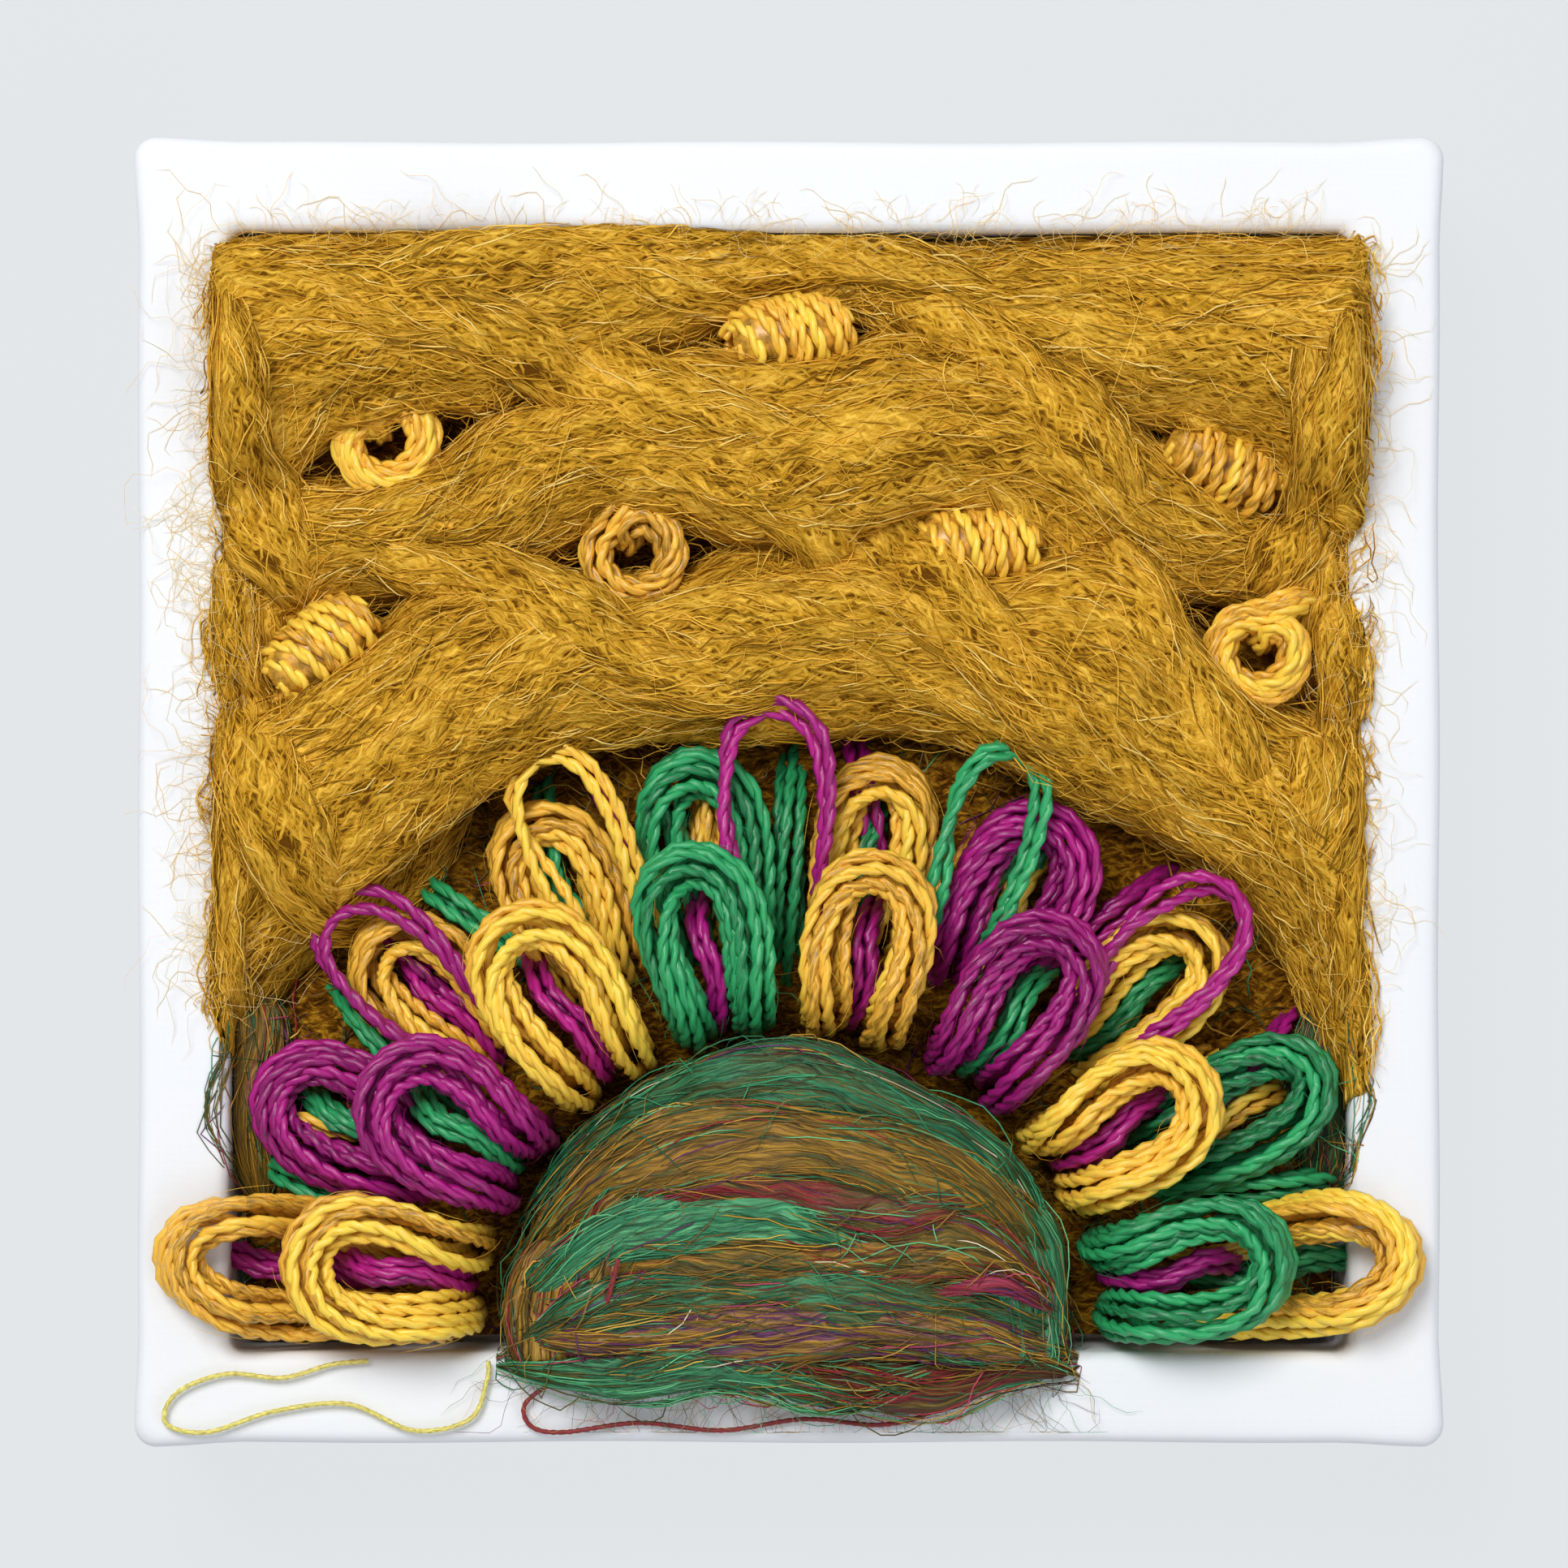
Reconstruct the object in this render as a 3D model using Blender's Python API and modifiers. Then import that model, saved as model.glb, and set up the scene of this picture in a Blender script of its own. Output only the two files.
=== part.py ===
"""A small needle felt picture in a canvas-wrapped frame, lying on its back.

Metres, +Z up. The picture faces +Z, its top edge is towards +Y, and the origin is
the middle of the back, on the surface that the frame lies on. The picture is a
half flower: mixed fibre at the heart, two rows of floss loops as petals, and thick
ropes of wool that run round them in arcs up to the top corners.
"""

import math

import bmesh
import bpy
import numpy as np

MM = 0.001
GAP = 0.3 * MM  # air kept between pieces that touch
FINE = 721  # samples of a border's half turn
SPAN_SAMPLES = 24  # of a smooth path between two of its points

# Frame of four bars wrapped in canvas, with the window that the fibres fill
SIDE = 70 * MM  # over the folded corners
FOLD = 0.25 * MM  # how far the folded corners stand out past the bars
FOLD_LENGTH = 5 * MM  # along the bar from the corner to where the fold is flat
DEPTH = 15 * MM
RAIL = 5.1 * MM  # width of a bar's face
EDGE = 0.8 * MM  # rounding of the bars' edges
CORNER = 1.2 * MM  # rounding of the outer corners
WINDOW = SIDE / 2 - RAIL  # half of the window's width
WINDOW_CORNER = 0.8 * MM

# Canvas panel across the back of the bars
PANEL = 1.5 * MM
PANEL_UP = 0.6 * MM
PANEL_AIR = 0.5 * MM  # round the panel and the first layer of wool

# First layer of wool, on the panel
BED_TOP = 9.5 * MM
BED_LUMP = 0.25 * MM
BED_RIPPLES = (700, 620)  # along X and Y, in radians a metre
BED_CELLS = 14
RIM_DROP = 1.2 * MM
SEAT = BED_TOP + BED_LUMP + GAP  # what lies on the first layer starts here

# The flower's centre, just inside the middle of the lower bar
HEART_Y = -(WINDOW - GAP)
SIDE_LIMIT = WINDOW - GAP
TOP_LIMIT = WINDOW - GAP - HEART_Y

# Borders between the wool ropes: radius from the heart, wave height, waves in a half turn, phase
BORDERS = (
    {"radius": 33.4 * MM, "wave": 0.5 * MM, "turns": 5, "phase": 0.4},
    {"radius": 43.8 * MM, "wave": 1.1 * MM, "turns": 3, "phase": 1.3},
    {"radius": 53.4 * MM, "wave": 0.9 * MM, "turns": 4, "phase": 2.4},
)
ROPE_UP = 0.90  # height of a rope's crest over its widest line, in half widths
ROPE_DOWN = 0.68
ROPE_SIDES = 14
EASE = 24  # samples on each side over which a rope's line and width are evened out
WALL_SINK = 2.4 * MM  # how much lower a rope lies where it meets a side wall
SINK_POWER = 6
CORNER_REACH = 68 * MM  # from the heart, of the last rope's outer side in the window's corners
ROOM_HEIGHT = 20 * MM
WELD = 0.00002
ROPES = (  # the borders on each side, and the angles in degrees between which it is laid
    {"inner": 0, "outer": 1, "first": 17, "last": 163, "rings": 44},
    {"inner": 1, "outer": 2, "first": 36, "last": 144, "rings": 38},
    {"inner": 2, "outer": None, "first": 46, "last": 134, "rings": 34},
)

# Mixed fibre: two locks round a half dome
MIXED_INNER = 6.5 * MM
MIXED_OUTER = 15.2 * MM
MIXED_UP = 1.12
MIXED_DOWN = 0.85
MIXED_LOCKS = ((6, 86.6), (93.4, 174))  # first and last angle of each, in degrees
MIXED_THIN = 0.78  # width at a lock's ends, as a share
MIXED_FULL = 0.5  # under 1, a lock keeps its full width nearer to its ends
MIXED_RINGS = 17
HEART_RADIUS = 6.1 * MM
HEART_HEIGHT = 7.4 * MM

# Petals: loops of six-strand floss, with the feet stitched down at the inner end
BUNDLE = 1.45 * MM  # radius over the strands
GROOVE = 0.84  # radius in the grooves between strands, as a share
BUNDLE_RIDGES = 4
BUNDLE_TWIST = math.radians(200)  # over a whole petal
FOOT_LIFT = 0.2 * BUNDLE
PETAL_RINGS = 21
PETAL_PATH = (  # half of a loop, from the foot to the tip
    {"out": 0.00, "aside": 0.69, "up": 0.00},
    {"out": 0.05, "aside": 0.69, "up": 0.60},
    {"out": 0.22, "aside": 0.80, "up": 1.00},
    {"out": 0.58, "aside": 1.00, "up": 1.00},
    {"out": 0.88, "aside": 0.78, "up": 0.98},
    {"out": 1.00, "aside": 0.00, "up": 0.96},
)
RAIL_PATH = (  # the same for the two low petals that climb over the side bars
    {"out": 0.00, "aside": 0.69, "up": 0.00},
    {"out": 0.05, "aside": 0.69, "up": 0.60},
    {"out": 0.22, "aside": 0.80, "up": 0.98},
    {"out": 0.45, "aside": 1.00, "up": 1.04},
    {"out": 0.72, "aside": 0.98, "up": 1.58},
    {"out": 1.00, "aside": 0.00, "up": 1.62},
)
LOW_ROW = {"count": 10, "foot": 21.6 * MM, "reach": 10.2 * MM, "half": 2.5 * MM, "crest": 14.3 * MM}
HIGH_ROW = {"count": 8, "foot": 17.3 * MM, "reach": 9.6 * MM, "half": 2.6 * MM, "crest": 17.8 * MM}
RAIL_REACH = 11.2 * MM
LAST_HIGH_REACH = 8.8 * MM  # of the upper petals beside them
LOW_COLOURS = "gold green gold magenta gold green gold gold magenta gold".split()
HIGH_COLOURS = "green gold magenta gold green gold magenta gold".split()
SHORTEST = 0.86  # of the row's reach
NARROWEST = 0.84  # of the row's half width
LEAN = 0.9  # share of the width saved by which a narrow petal leans to one side
CREST_SPREAD = 0.12 * MM
ROLL = 0.9 * MM  # how far one leg of a petal in the upper row may stand over the other
SEED = 7

# Knots of floss pressed into the wool: the border they lie on, angle, height of the middle, kind
KNOTS = (
    {"border": 1, "angle": 56, "up": 14.8, "kind": "ring"},
    {"border": 1, "angle": 77, "up": 14.9, "kind": "bullion"},
    {"border": 1, "angle": 101, "up": 14.8, "kind": "ring"},
    {"border": 1, "angle": 124, "up": 14.6, "kind": "bullion"},
    {"border": 2, "angle": 64, "up": 13.4, "kind": "bullion"},
    {"border": 2, "angle": 90, "up": 14.2, "kind": "bullion"},
    {"border": 2, "angle": 114, "up": 14.0, "kind": "ring"},
)
KNOT_DENT = {"ring": 2.6 * MM, "bullion": 2.0 * MM}  # how far a knot pushes the wool aside
KNOT_SPAN = 5.4 * MM
BULLION_LENGTH = 6.8 * MM
BULLION_RADIUS = 2.3 * MM
BULLION_WRAPS = 4
BULLION_BLUNT = 0.96  # share of the barrel's half length at which its end is cut
BULLION_WAIST = 0.86  # radius between wraps, as a share
BULLION_POINT = 0.2 * MM
BULLION_STEPS = 10
RING_RADIUS = 1.9 * MM
RING_TUBE = 1.2 * MM
RING_STEPS = (14, 7)

# Loose threads that come out of the fibre and lie over the frame
THREAD = 0.3 * MM
THREAD_STEP = 3 * THREAD
RED_ROUTE = (
    (-9.0, -24.6, 19.6),
    (-9.5, -26.6, 19.3),
    (-10.0, -28.3, 18.4),
    (-10.6, -29.8, 16.8),
    (-11.6, -31.0, 15.5),
    (-13.0, -31.7, 15.5),
    (-14.1, -32.7, 15.5),
    (-13.7, -33.8, 15.5),
    (-12.0, -34.1, 15.5),
    (-8.0, -33.6, 15.5),
    (-3.6, -34.0, 15.5),
    (0.8, -33.4, 15.5),
    (5.0, -33.7, 15.5),
    (7.8, -32.8, 15.5),
    (7.4, -31.0, 15.5),
)
YELLOW_ROUTE = (
    (-22.4, -30.3, 15.5),
    (-24.4, -30.5, 15.5),
    (-27.0, -31.2, 15.5),
    (-30.0, -31.0, 15.5),
    (-32.6, -32.0, 15.5),
    (-33.2, -33.6, 15.5),
    (-31.0, -34.1, 15.5),
    (-27.5, -33.0, 15.5),
    (-23.5, -32.6, 15.5),
    (-20.0, -34.0, 15.5),
    (-17.0, -33.4, 15.5),
    (-16.1, -31.4, 15.5),
    (-16.0, -30.3, 15.5),
)

COLOURS = {
    "canvas": (0.90, 0.91, 0.95),
    "wool": (0.60, 0.34, 0.035),
    "under": (0.33, 0.17, 0.02),
    "mixed": (0.10, 0.15, 0.06),
    "gold": (0.83, 0.48, 0.09),
    "green": (0.03, 0.26, 0.11),
    "magenta": (0.34, 0.01, 0.17),
    "red": (0.28, 0.02, 0.03),
    "yellow": (0.85, 0.72, 0.20),
}


def clear_scene():
    for item in list(bpy.data.objects):
        bpy.data.objects.remove(item)


def collection(name):
    made = bpy.data.collections.new(name)
    bpy.context.scene.collection.children.link(made)
    return made


def material(name):
    made = bpy.data.materials.get(name)
    if made is None:
        made = bpy.data.materials.new(name)
        made.use_nodes = True
        shader = made.node_tree.nodes["Principled BSDF"]
        shader.inputs["Base Color"].default_value = (*COLOURS[name], 1)
        shader.inputs["Roughness"].default_value = 0.6 if name == "canvas" else 0.8
        shader.inputs["Metallic"].default_value = 0
    return made


def add_piece(name, data, colour):
    piece = bpy.data.objects.new(name, data)
    data.materials.append(material(colour))
    picture.objects.link(piece)
    return piece


def smooth_path(points, count):
    """Catmull-Rom curve through the points, read at equal steps along its length."""
    points = np.array(points, float)
    ends = (2 * points[0] - points[1], 2 * points[-1] - points[-2])
    padded = np.vstack([ends[0], points, ends[1]])
    t = np.linspace(0, 1, SPAN_SAMPLES, endpoint=False)[:, None]
    spans = []
    for a, b, c, d in zip(padded, padded[1:], padded[2:], padded[3:]):
        bend = (3 * b - a - 3 * c + d) * t**3 + (2 * a - 5 * b + 4 * c - d) * t**2
        spans.append((bend + (c - a) * t + 2 * b) / 2)
    dense = np.vstack([*spans, points[-1:]])
    along = np.concatenate([[0], np.cumsum(np.linalg.norm(np.diff(dense, axis=0), axis=1))])
    even = np.linspace(0, along[-1], count)
    return np.column_stack([np.interp(even, along, dense[:, axis]) for axis in range(3)])


def path_length(points):
    return float(np.linalg.norm(np.diff(np.array(points, float), axis=0), axis=1).sum())


def spline(data, points, cyclic=False, widths=None, tilts=None):
    line = data.splines.new("POLY")
    line.points.add(len(points) - 1)
    line.use_cyclic_u = cyclic
    for index, (point, place) in enumerate(zip(line.points, points)):
        point.co = (*place, 1)
        point.radius = 1 if widths is None else widths[index]
        point.tilt = 0 if tilts is None else tilts[index]


def section(name, radii, ups):
    """A closed guide outline: a circle whose radius and height change round it. It runs clockwise."""
    data = bpy.data.curves.new(name, "CURVE")
    data.dimensions = "2D"
    angles = -np.arange(len(radii)) * 2 * math.pi / len(radii)
    rows = [(r * math.cos(a), up * r * math.sin(a), 0) for r, up, a in zip(radii, ups, angles)]
    spline(data, rows, cyclic=True)
    guide = bpy.data.objects.new(name, data)
    guide.hide_render = True
    guide.display_type = "WIRE"
    guides.objects.link(guide)
    return guide


def swept(name, points, outline, colour, widths=None, tilts=None, upright=False):
    data = bpy.data.curves.new(name, "CURVE")
    data.dimensions = "3D"
    data.bevel_mode = "OBJECT"
    data.bevel_object = outline
    data.use_fill_caps = True
    data.twist_mode = "Z_UP" if upright else "MINIMUM"
    spline(data, points, widths=widths, tilts=tilts)
    return add_piece(name, data, colour)


def frame_outline():
    """The bars' outer outline, with each corner a little proud where the canvas is folded."""
    half = SIDE / 2
    turn = np.radians([0, 30, 60, 90])
    rows = [(half - FOLD, half - CORNER - FOLD_LENGTH)]
    rows += [(half - CORNER * (1 - math.cos(a)), half - CORNER * (1 - math.sin(a))) for a in turn]
    rows += [(half - CORNER - FOLD_LENGTH, half - FOLD)]
    return four_corners(rows)


def window_outline():
    turn = np.radians([0, 45, 90])
    inset = WINDOW - WINDOW_CORNER
    rows = [(inset + WINDOW_CORNER * math.cos(a), inset + WINDOW_CORNER * math.sin(a)) for a in turn]
    return four_corners(rows)


def four_corners(rows):
    """The upper right corner's points, turned round the middle to make all four."""
    every = []
    for quarter in range(4):
        c, s = math.cos(quarter * math.pi / 2), math.sin(quarter * math.pi / 2)
        every += [(x * c - y * s, x * s + y * c, 0) for x, y in rows]
    return every


def make_frame():
    data = bpy.data.curves.new("canvas_frame", "CURVE")
    data.dimensions = "2D"
    data.fill_mode = "BOTH"
    data.extrude = DEPTH / 2 - EDGE
    data.bevel_depth = EDGE
    data.bevel_resolution = 1
    data.offset = -EDGE
    spline(data, frame_outline(), cyclic=True)
    spline(data, window_outline()[::-1], cyclic=True)
    frame = add_piece("canvas_frame", data, "canvas")
    frame.location.z = DEPTH / 2


def make_panel():
    bpy.ops.mesh.primitive_cube_add(size=1, location=(0, 0, PANEL_UP + PANEL / 2))
    panel = bpy.context.object
    for owner in list(panel.users_collection):
        owner.objects.unlink(panel)
    picture.objects.link(panel)
    panel.name = "back_panel"
    width = 2 * (WINDOW - PANEL_AIR)
    panel.data.transform(((width, 0, 0, 0), (0, width, 0, 0), (0, 0, PANEL, 0), (0, 0, 0, 1)))
    panel.data.materials.append(material("canvas"))


def make_bed():
    """A pad with a lumpy top whose rim drops, on the panel."""
    half = WINDOW - PANEL_AIR
    bottom = PANEL_UP + PANEL + GAP
    mesh = bmesh.new()
    bmesh.ops.create_grid(mesh, x_segments=BED_CELLS, y_segments=BED_CELLS, size=half)
    made = bmesh.ops.extrude_face_region(mesh, geom=mesh.faces[:])
    raised = [item for item in made["geom"] if isinstance(item, bmesh.types.BMVert)]
    for vertex in mesh.verts:
        vertex.co.z = bottom
    for vertex in raised:
        x, y = vertex.co.x, vertex.co.y
        lump = BED_LUMP * math.sin(x * BED_RIPPLES[0] + 1) * math.cos(y * BED_RIPPLES[1])
        rim = RIM_DROP if max(abs(x), abs(y)) > half - GAP else 0
        vertex.co.z = BED_TOP + lump - rim
    bmesh.ops.recalc_face_normals(mesh, faces=mesh.faces[:])
    data = bpy.data.meshes.new("under_wool")
    mesh.to_mesh(data)
    mesh.free()
    add_piece("under_wool", data, "under")


def dent(border, angle):
    """How far the knots on a border push the wool aside at each angle."""
    pushed = np.zeros_like(angle)
    for knot in KNOTS:
        if knot["border"] == border:
            away = (angle - math.radians(knot["angle"])) * BORDERS[border]["radius"]
            pushed += KNOT_DENT[knot["kind"]] * np.exp(-((away / KNOT_SPAN) ** 4))
    return pushed


def border_radius(border, angle):
    row = BORDERS[border]
    return row["radius"] + row["wave"] * np.sin(row["turns"] * 2 * angle + row["phase"])


def round_heart(radius, angle, height):
    return np.column_stack([radius * np.cos(angle), HEART_Y + radius * np.sin(angle), height])


def windows(values, reach):
    padded = np.pad(values, reach, mode="edge")
    return np.lib.stride_tricks.sliding_window_view(padded, 2 * reach + 1)


def eased_below(values, reach):
    """The mean, over a window, of the lowest value in each window: smooth, and never over the values."""
    return windows(windows(values, reach).min(axis=1), reach).mean(axis=1)


def make_room():
    """The space inside the window over the first layer: a cutter that trims the ropes."""
    bpy.ops.mesh.primitive_cube_add(size=1, location=(0, 0, SEAT + ROOM_HEIGHT / 2))
    room = bpy.context.object
    for owner in list(room.users_collection):
        owner.objects.unlink(room)
    guides.objects.link(room)
    room.name = "window_room"
    room.hide_render = True
    room.display_type = "WIRE"
    width = 2 * SIDE_LIMIT
    room.data.transform(((width, 0, 0, 0), (0, width, 0, 0), (0, 0, ROOM_HEIGHT, 0), (0, 0, 0, 1)))
    return room


def as_mesh(curve, colour):
    """The curve as a mesh with its caps welded on, because a curve takes no Boolean."""
    bpy.context.view_layer.update()
    evaluated = curve.evaluated_get(bpy.context.evaluated_depsgraph_get())
    data = bpy.data.meshes.new_from_object(evaluated)
    welded = bmesh.new()
    welded.from_mesh(data)
    bmesh.ops.remove_doubles(welded, verts=welded.verts[:], dist=WELD)
    welded.to_mesh(data)
    welded.free()
    data.materials.clear()
    name = curve.name
    bpy.data.objects.remove(curve)
    return add_piece(name, data, colour)


def make_rope(name, row):
    """A rope that fills the space between two borders. It is laid past the window's walls and
    trimmed to them, and it lies lower where it meets the side walls."""
    inner, outer = row["inner"], row["outer"]
    angle = np.radians(np.linspace(row["first"], row["last"], FINE))
    near = border_radius(inner, angle) + dent(inner, angle) + GAP / 2
    if outer is None:
        far = np.minimum(TOP_LIMIT / np.sin(angle), CORNER_REACH)
    else:
        far = border_radius(outer, angle) - dent(outer, angle) - GAP / 2
    radius = windows((near + far) / 2, EASE).mean(axis=1)
    half = eased_below(np.minimum(radius - near, far - radius), EASE)
    even = np.linspace(angle[0], angle[-1], row["rings"])
    width = np.interp(even, angle, half)
    points = round_heart(np.interp(even, angle, radius), even, SEAT + ROPE_DOWN * width)
    points[:, 2] -= WALL_SINK * np.minimum(np.abs(points[:, 0]) / SIDE_LIMIT, 1) ** SINK_POWER
    laid = swept(name, points, rope_section, "wool", widths=width, upright=True)
    trim = as_mesh(laid, "wool").modifiers.new("trim", "BOOLEAN")
    trim.operation = "INTERSECT"
    trim.object = room


def make_mixed():
    """Locks bent round the heart, each with thinner ends."""
    half = (MIXED_OUTER - MIXED_INNER) / 2
    middle = (MIXED_OUTER + MIXED_INNER) / 2
    along = np.linspace(0, 1, MIXED_RINGS)
    width = half * (MIXED_THIN + (1 - MIXED_THIN) * np.sin(along * math.pi) ** MIXED_FULL)
    height = np.full_like(along, SEAT + MIXED_DOWN * half)
    for index, (first, last) in enumerate(MIXED_LOCKS, 1):
        angle = np.radians(first + along * (last - first))
        points = round_heart(np.full_like(angle, middle), angle, height)
        swept(f"mixed_lock_{index}", points, mixed_section, "mixed", widths=width, upright=True)


def make_heart():
    """Half a dome, cut flat at the lower bar."""
    mesh = bmesh.new()
    bmesh.ops.create_uvsphere(mesh, u_segments=16, v_segments=8, radius=1)
    whole = [*mesh.verts, *mesh.edges, *mesh.faces]
    side = {"plane_co": (0, 0, 0), "plane_no": (0, -1, 0)}
    cut = bmesh.ops.bisect_plane(mesh, geom=whole, dist=1e-5, clear_outer=True, **side)
    rim = [item for item in cut["geom_cut"] if isinstance(item, bmesh.types.BMEdge)]
    bmesh.ops.holes_fill(mesh, edges=rim, sides=0)
    for vertex in mesh.verts:
        x, y, z = vertex.co
        vertex.co = (x * HEART_RADIUS, y * HEART_RADIUS, (z + 1) * HEART_HEIGHT / 2)
    bmesh.ops.recalc_face_normals(mesh, faces=mesh.faces[:])
    data = bpy.data.meshes.new("mixed_heart")
    mesh.to_mesh(data)
    mesh.free()
    heart = add_piece("mixed_heart", data, "mixed")
    heart.location = (0, HEART_Y, SEAT)


def petal_points(table, angle, foot, size):
    """One loop: up from its first foot, out to the tip, and back down to its second foot."""
    bottom = SEAT + FOOT_LIFT
    rise = size["crest"] - bottom
    there = [(row["out"], row["aside"], row["up"]) for row in table]
    back = [(out, -aside, up) for out, aside, up in there[-2::-1]]
    tipward, aside, up = np.array(there + back).T
    up = bottom + up * rise + size["roll"] * tipward * (1 + aside) / 2
    aside = aside * size["half"] + size["lean"] * tipward
    path = smooth_path(np.column_stack([tipward * size["reach"], aside, up]), PETAL_RINGS)
    out = foot + path[:, 0]
    x = out * math.cos(angle) - path[:, 1] * math.sin(angle)
    y = out * math.sin(angle) + path[:, 1] * math.cos(angle)
    return np.column_stack([x, HEART_Y + y, path[:, 2]])


def make_row(name, row, colours, draws):
    tilts = np.linspace(0, BUNDLE_TWIST, PETAL_RINGS)
    pitch = math.pi / row["count"]
    for index, colour in enumerate(colours):
        angle = (index + 0.5) * pitch
        longer, wider, higher, leaning, rolled = draws.uniform(-1, 1, 5)
        size = {
            "reach": row["reach"] * (1 + SHORTEST + (1 - SHORTEST) * longer) / 2,
            "half": row["half"] * (1 + NARROWEST + (1 - NARROWEST) * wider) / 2,
            "crest": row["crest"] + CREST_SPREAD * higher,
            "roll": 0 if row is LOW_ROW else ROLL * abs(rolled),
        }
        size["lean"] = (row["half"] - size["half"]) * LEAN * math.copysign(1, leaning)
        table = PETAL_PATH
        if index not in (0, row["count"] - 1):
            room = (SIDE_LIMIT - BUNDLE) / abs(math.cos(angle)) - row["foot"]
            size["reach"] = min(size["reach"], room)
        elif row is LOW_ROW:
            table = RAIL_PATH
            size.update(reach=RAIL_REACH, half=row["half"], lean=0)
        else:
            size.update(reach=LAST_HIGH_REACH, half=row["half"], lean=0)
        points = petal_points(table, angle, row["foot"], size)
        swept(f"{name}_{index + 1:02d}", points, bundle_section, colour, tilts=tilts)


def bullion_profile():
    """Half outline of a wrapped knot from its +Z end down: a barrel with one swell for each wrap."""
    along = np.linspace(1, -1, 2 * BULLION_WRAPS + 1)
    barrel = BULLION_RADIUS * np.sqrt(1 - (BULLION_BLUNT * along) ** 4)
    swell = np.where(np.arange(len(along)) % 2 == 1, 1.0, BULLION_WAIST)
    middle = [(r, 0, z) for r, z in zip(barrel * swell, BULLION_LENGTH / 2 * along)]
    tip = BULLION_LENGTH / 2 + BULLION_POINT
    return [(0, 0, tip), *middle, (0, 0, -tip)]


def make_bullion(name, colour):
    data = bpy.data.meshes.new(name)
    rows = bullion_profile()
    data.from_pydata(rows, [(i, i + 1) for i in range(len(rows) - 1)], [])
    knot = add_piece(name, data, colour)
    wraps = knot.modifiers.new("wraps", "SCREW")
    wraps.steps = BULLION_STEPS
    wraps.render_steps = BULLION_STEPS
    wraps.use_merge_vertices = True
    wraps.merge_threshold = 0.00002
    return knot


def make_ring(name, colour):
    around, across = RING_STEPS
    sizes = {"major_radius": RING_RADIUS, "minor_radius": RING_TUBE}
    bpy.ops.mesh.primitive_torus_add(major_segments=around, minor_segments=across, **sizes)
    ring = bpy.context.object
    for owner in list(ring.users_collection):
        owner.objects.unlink(ring)
    picture.objects.link(ring)
    ring.name = name
    ring.data.materials.append(material(colour))
    return ring


def make_knots():
    """Each knot lies in the valley over its border, and a bullion lies along it."""
    ahead = 0.01
    for index, row in enumerate(KNOTS, 1):
        angle = math.radians(row["angle"])
        radius = float(border_radius(row["border"], angle))
        climb = float(border_radius(row["border"], angle + ahead)) - radius
        slope = math.atan(climb / (ahead * radius))
        if row["kind"] == "ring":
            knot = make_ring(f"knot_{index}", "gold")
        else:
            knot = make_bullion(f"knot_{index}", "gold")
            knot.rotation_euler = (math.pi / 2, 0, angle - slope)
        y = HEART_Y + radius * math.sin(angle)
        knot.location = (radius * math.cos(angle), y, row["up"] * MM)


def make_threads():
    """Free ends of sewing thread, each a thin tube with a point every three diameters."""
    for colour, route in (("red", RED_ROUTE), ("yellow", YELLOW_ROUTE)):
        name = f"{colour}_thread"
        route = np.array(route) * MM
        count = int(path_length(smooth_path(route, FINE)) / THREAD_STEP) + 1
        data = bpy.data.curves.new(name, "CURVE")
        data.dimensions = "3D"
        data.bevel_depth = THREAD / 2
        data.bevel_resolution = 2
        data.use_fill_caps = True
        spline(data, smooth_path(route, count))
        add_piece(name, data, colour)


clear_scene()
picture = collection("felt_picture")
guides = collection("guides")
guides.hide_render = True

over = np.sin(-np.arange(ROPE_SIDES) * 2 * math.pi / ROPE_SIDES) > 0
rope_section = section("rope_section", np.ones(ROPE_SIDES), np.where(over, ROPE_UP, ROPE_DOWN))
mixed_section = section("mixed_section", np.ones(ROPE_SIDES), np.where(over, MIXED_UP, MIXED_DOWN))
ridges = np.tile([BUNDLE, BUNDLE * GROOVE], BUNDLE_RIDGES)
bundle_section = section("bundle_section", ridges, np.ones(len(ridges)))

make_frame()
make_panel()
make_bed()
room = make_room()
for number, rope in enumerate(ROPES, 1):
    make_rope(f"wool_rope_{number}", rope)
make_mixed()
make_heart()
draws = np.random.default_rng(SEED)
make_row("petal_low", LOW_ROW, LOW_COLOURS, draws)
make_row("petal_high", HIGH_ROW, HIGH_COLOURS, draws)
make_knots()
make_threads()
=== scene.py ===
"""A small needle felt picture in a canvas-wrapped frame: the looks, put on over the solids.

Metres, +Z up. The picture faces +Z and its top edge is towards +Y. The sections follow the making:
the camera and the free threads, the frame, the layers of wool, the mixed fibre, the floss loops,
the knots, and last the floor and the light. Colours are linear.
"""

import math

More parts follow.
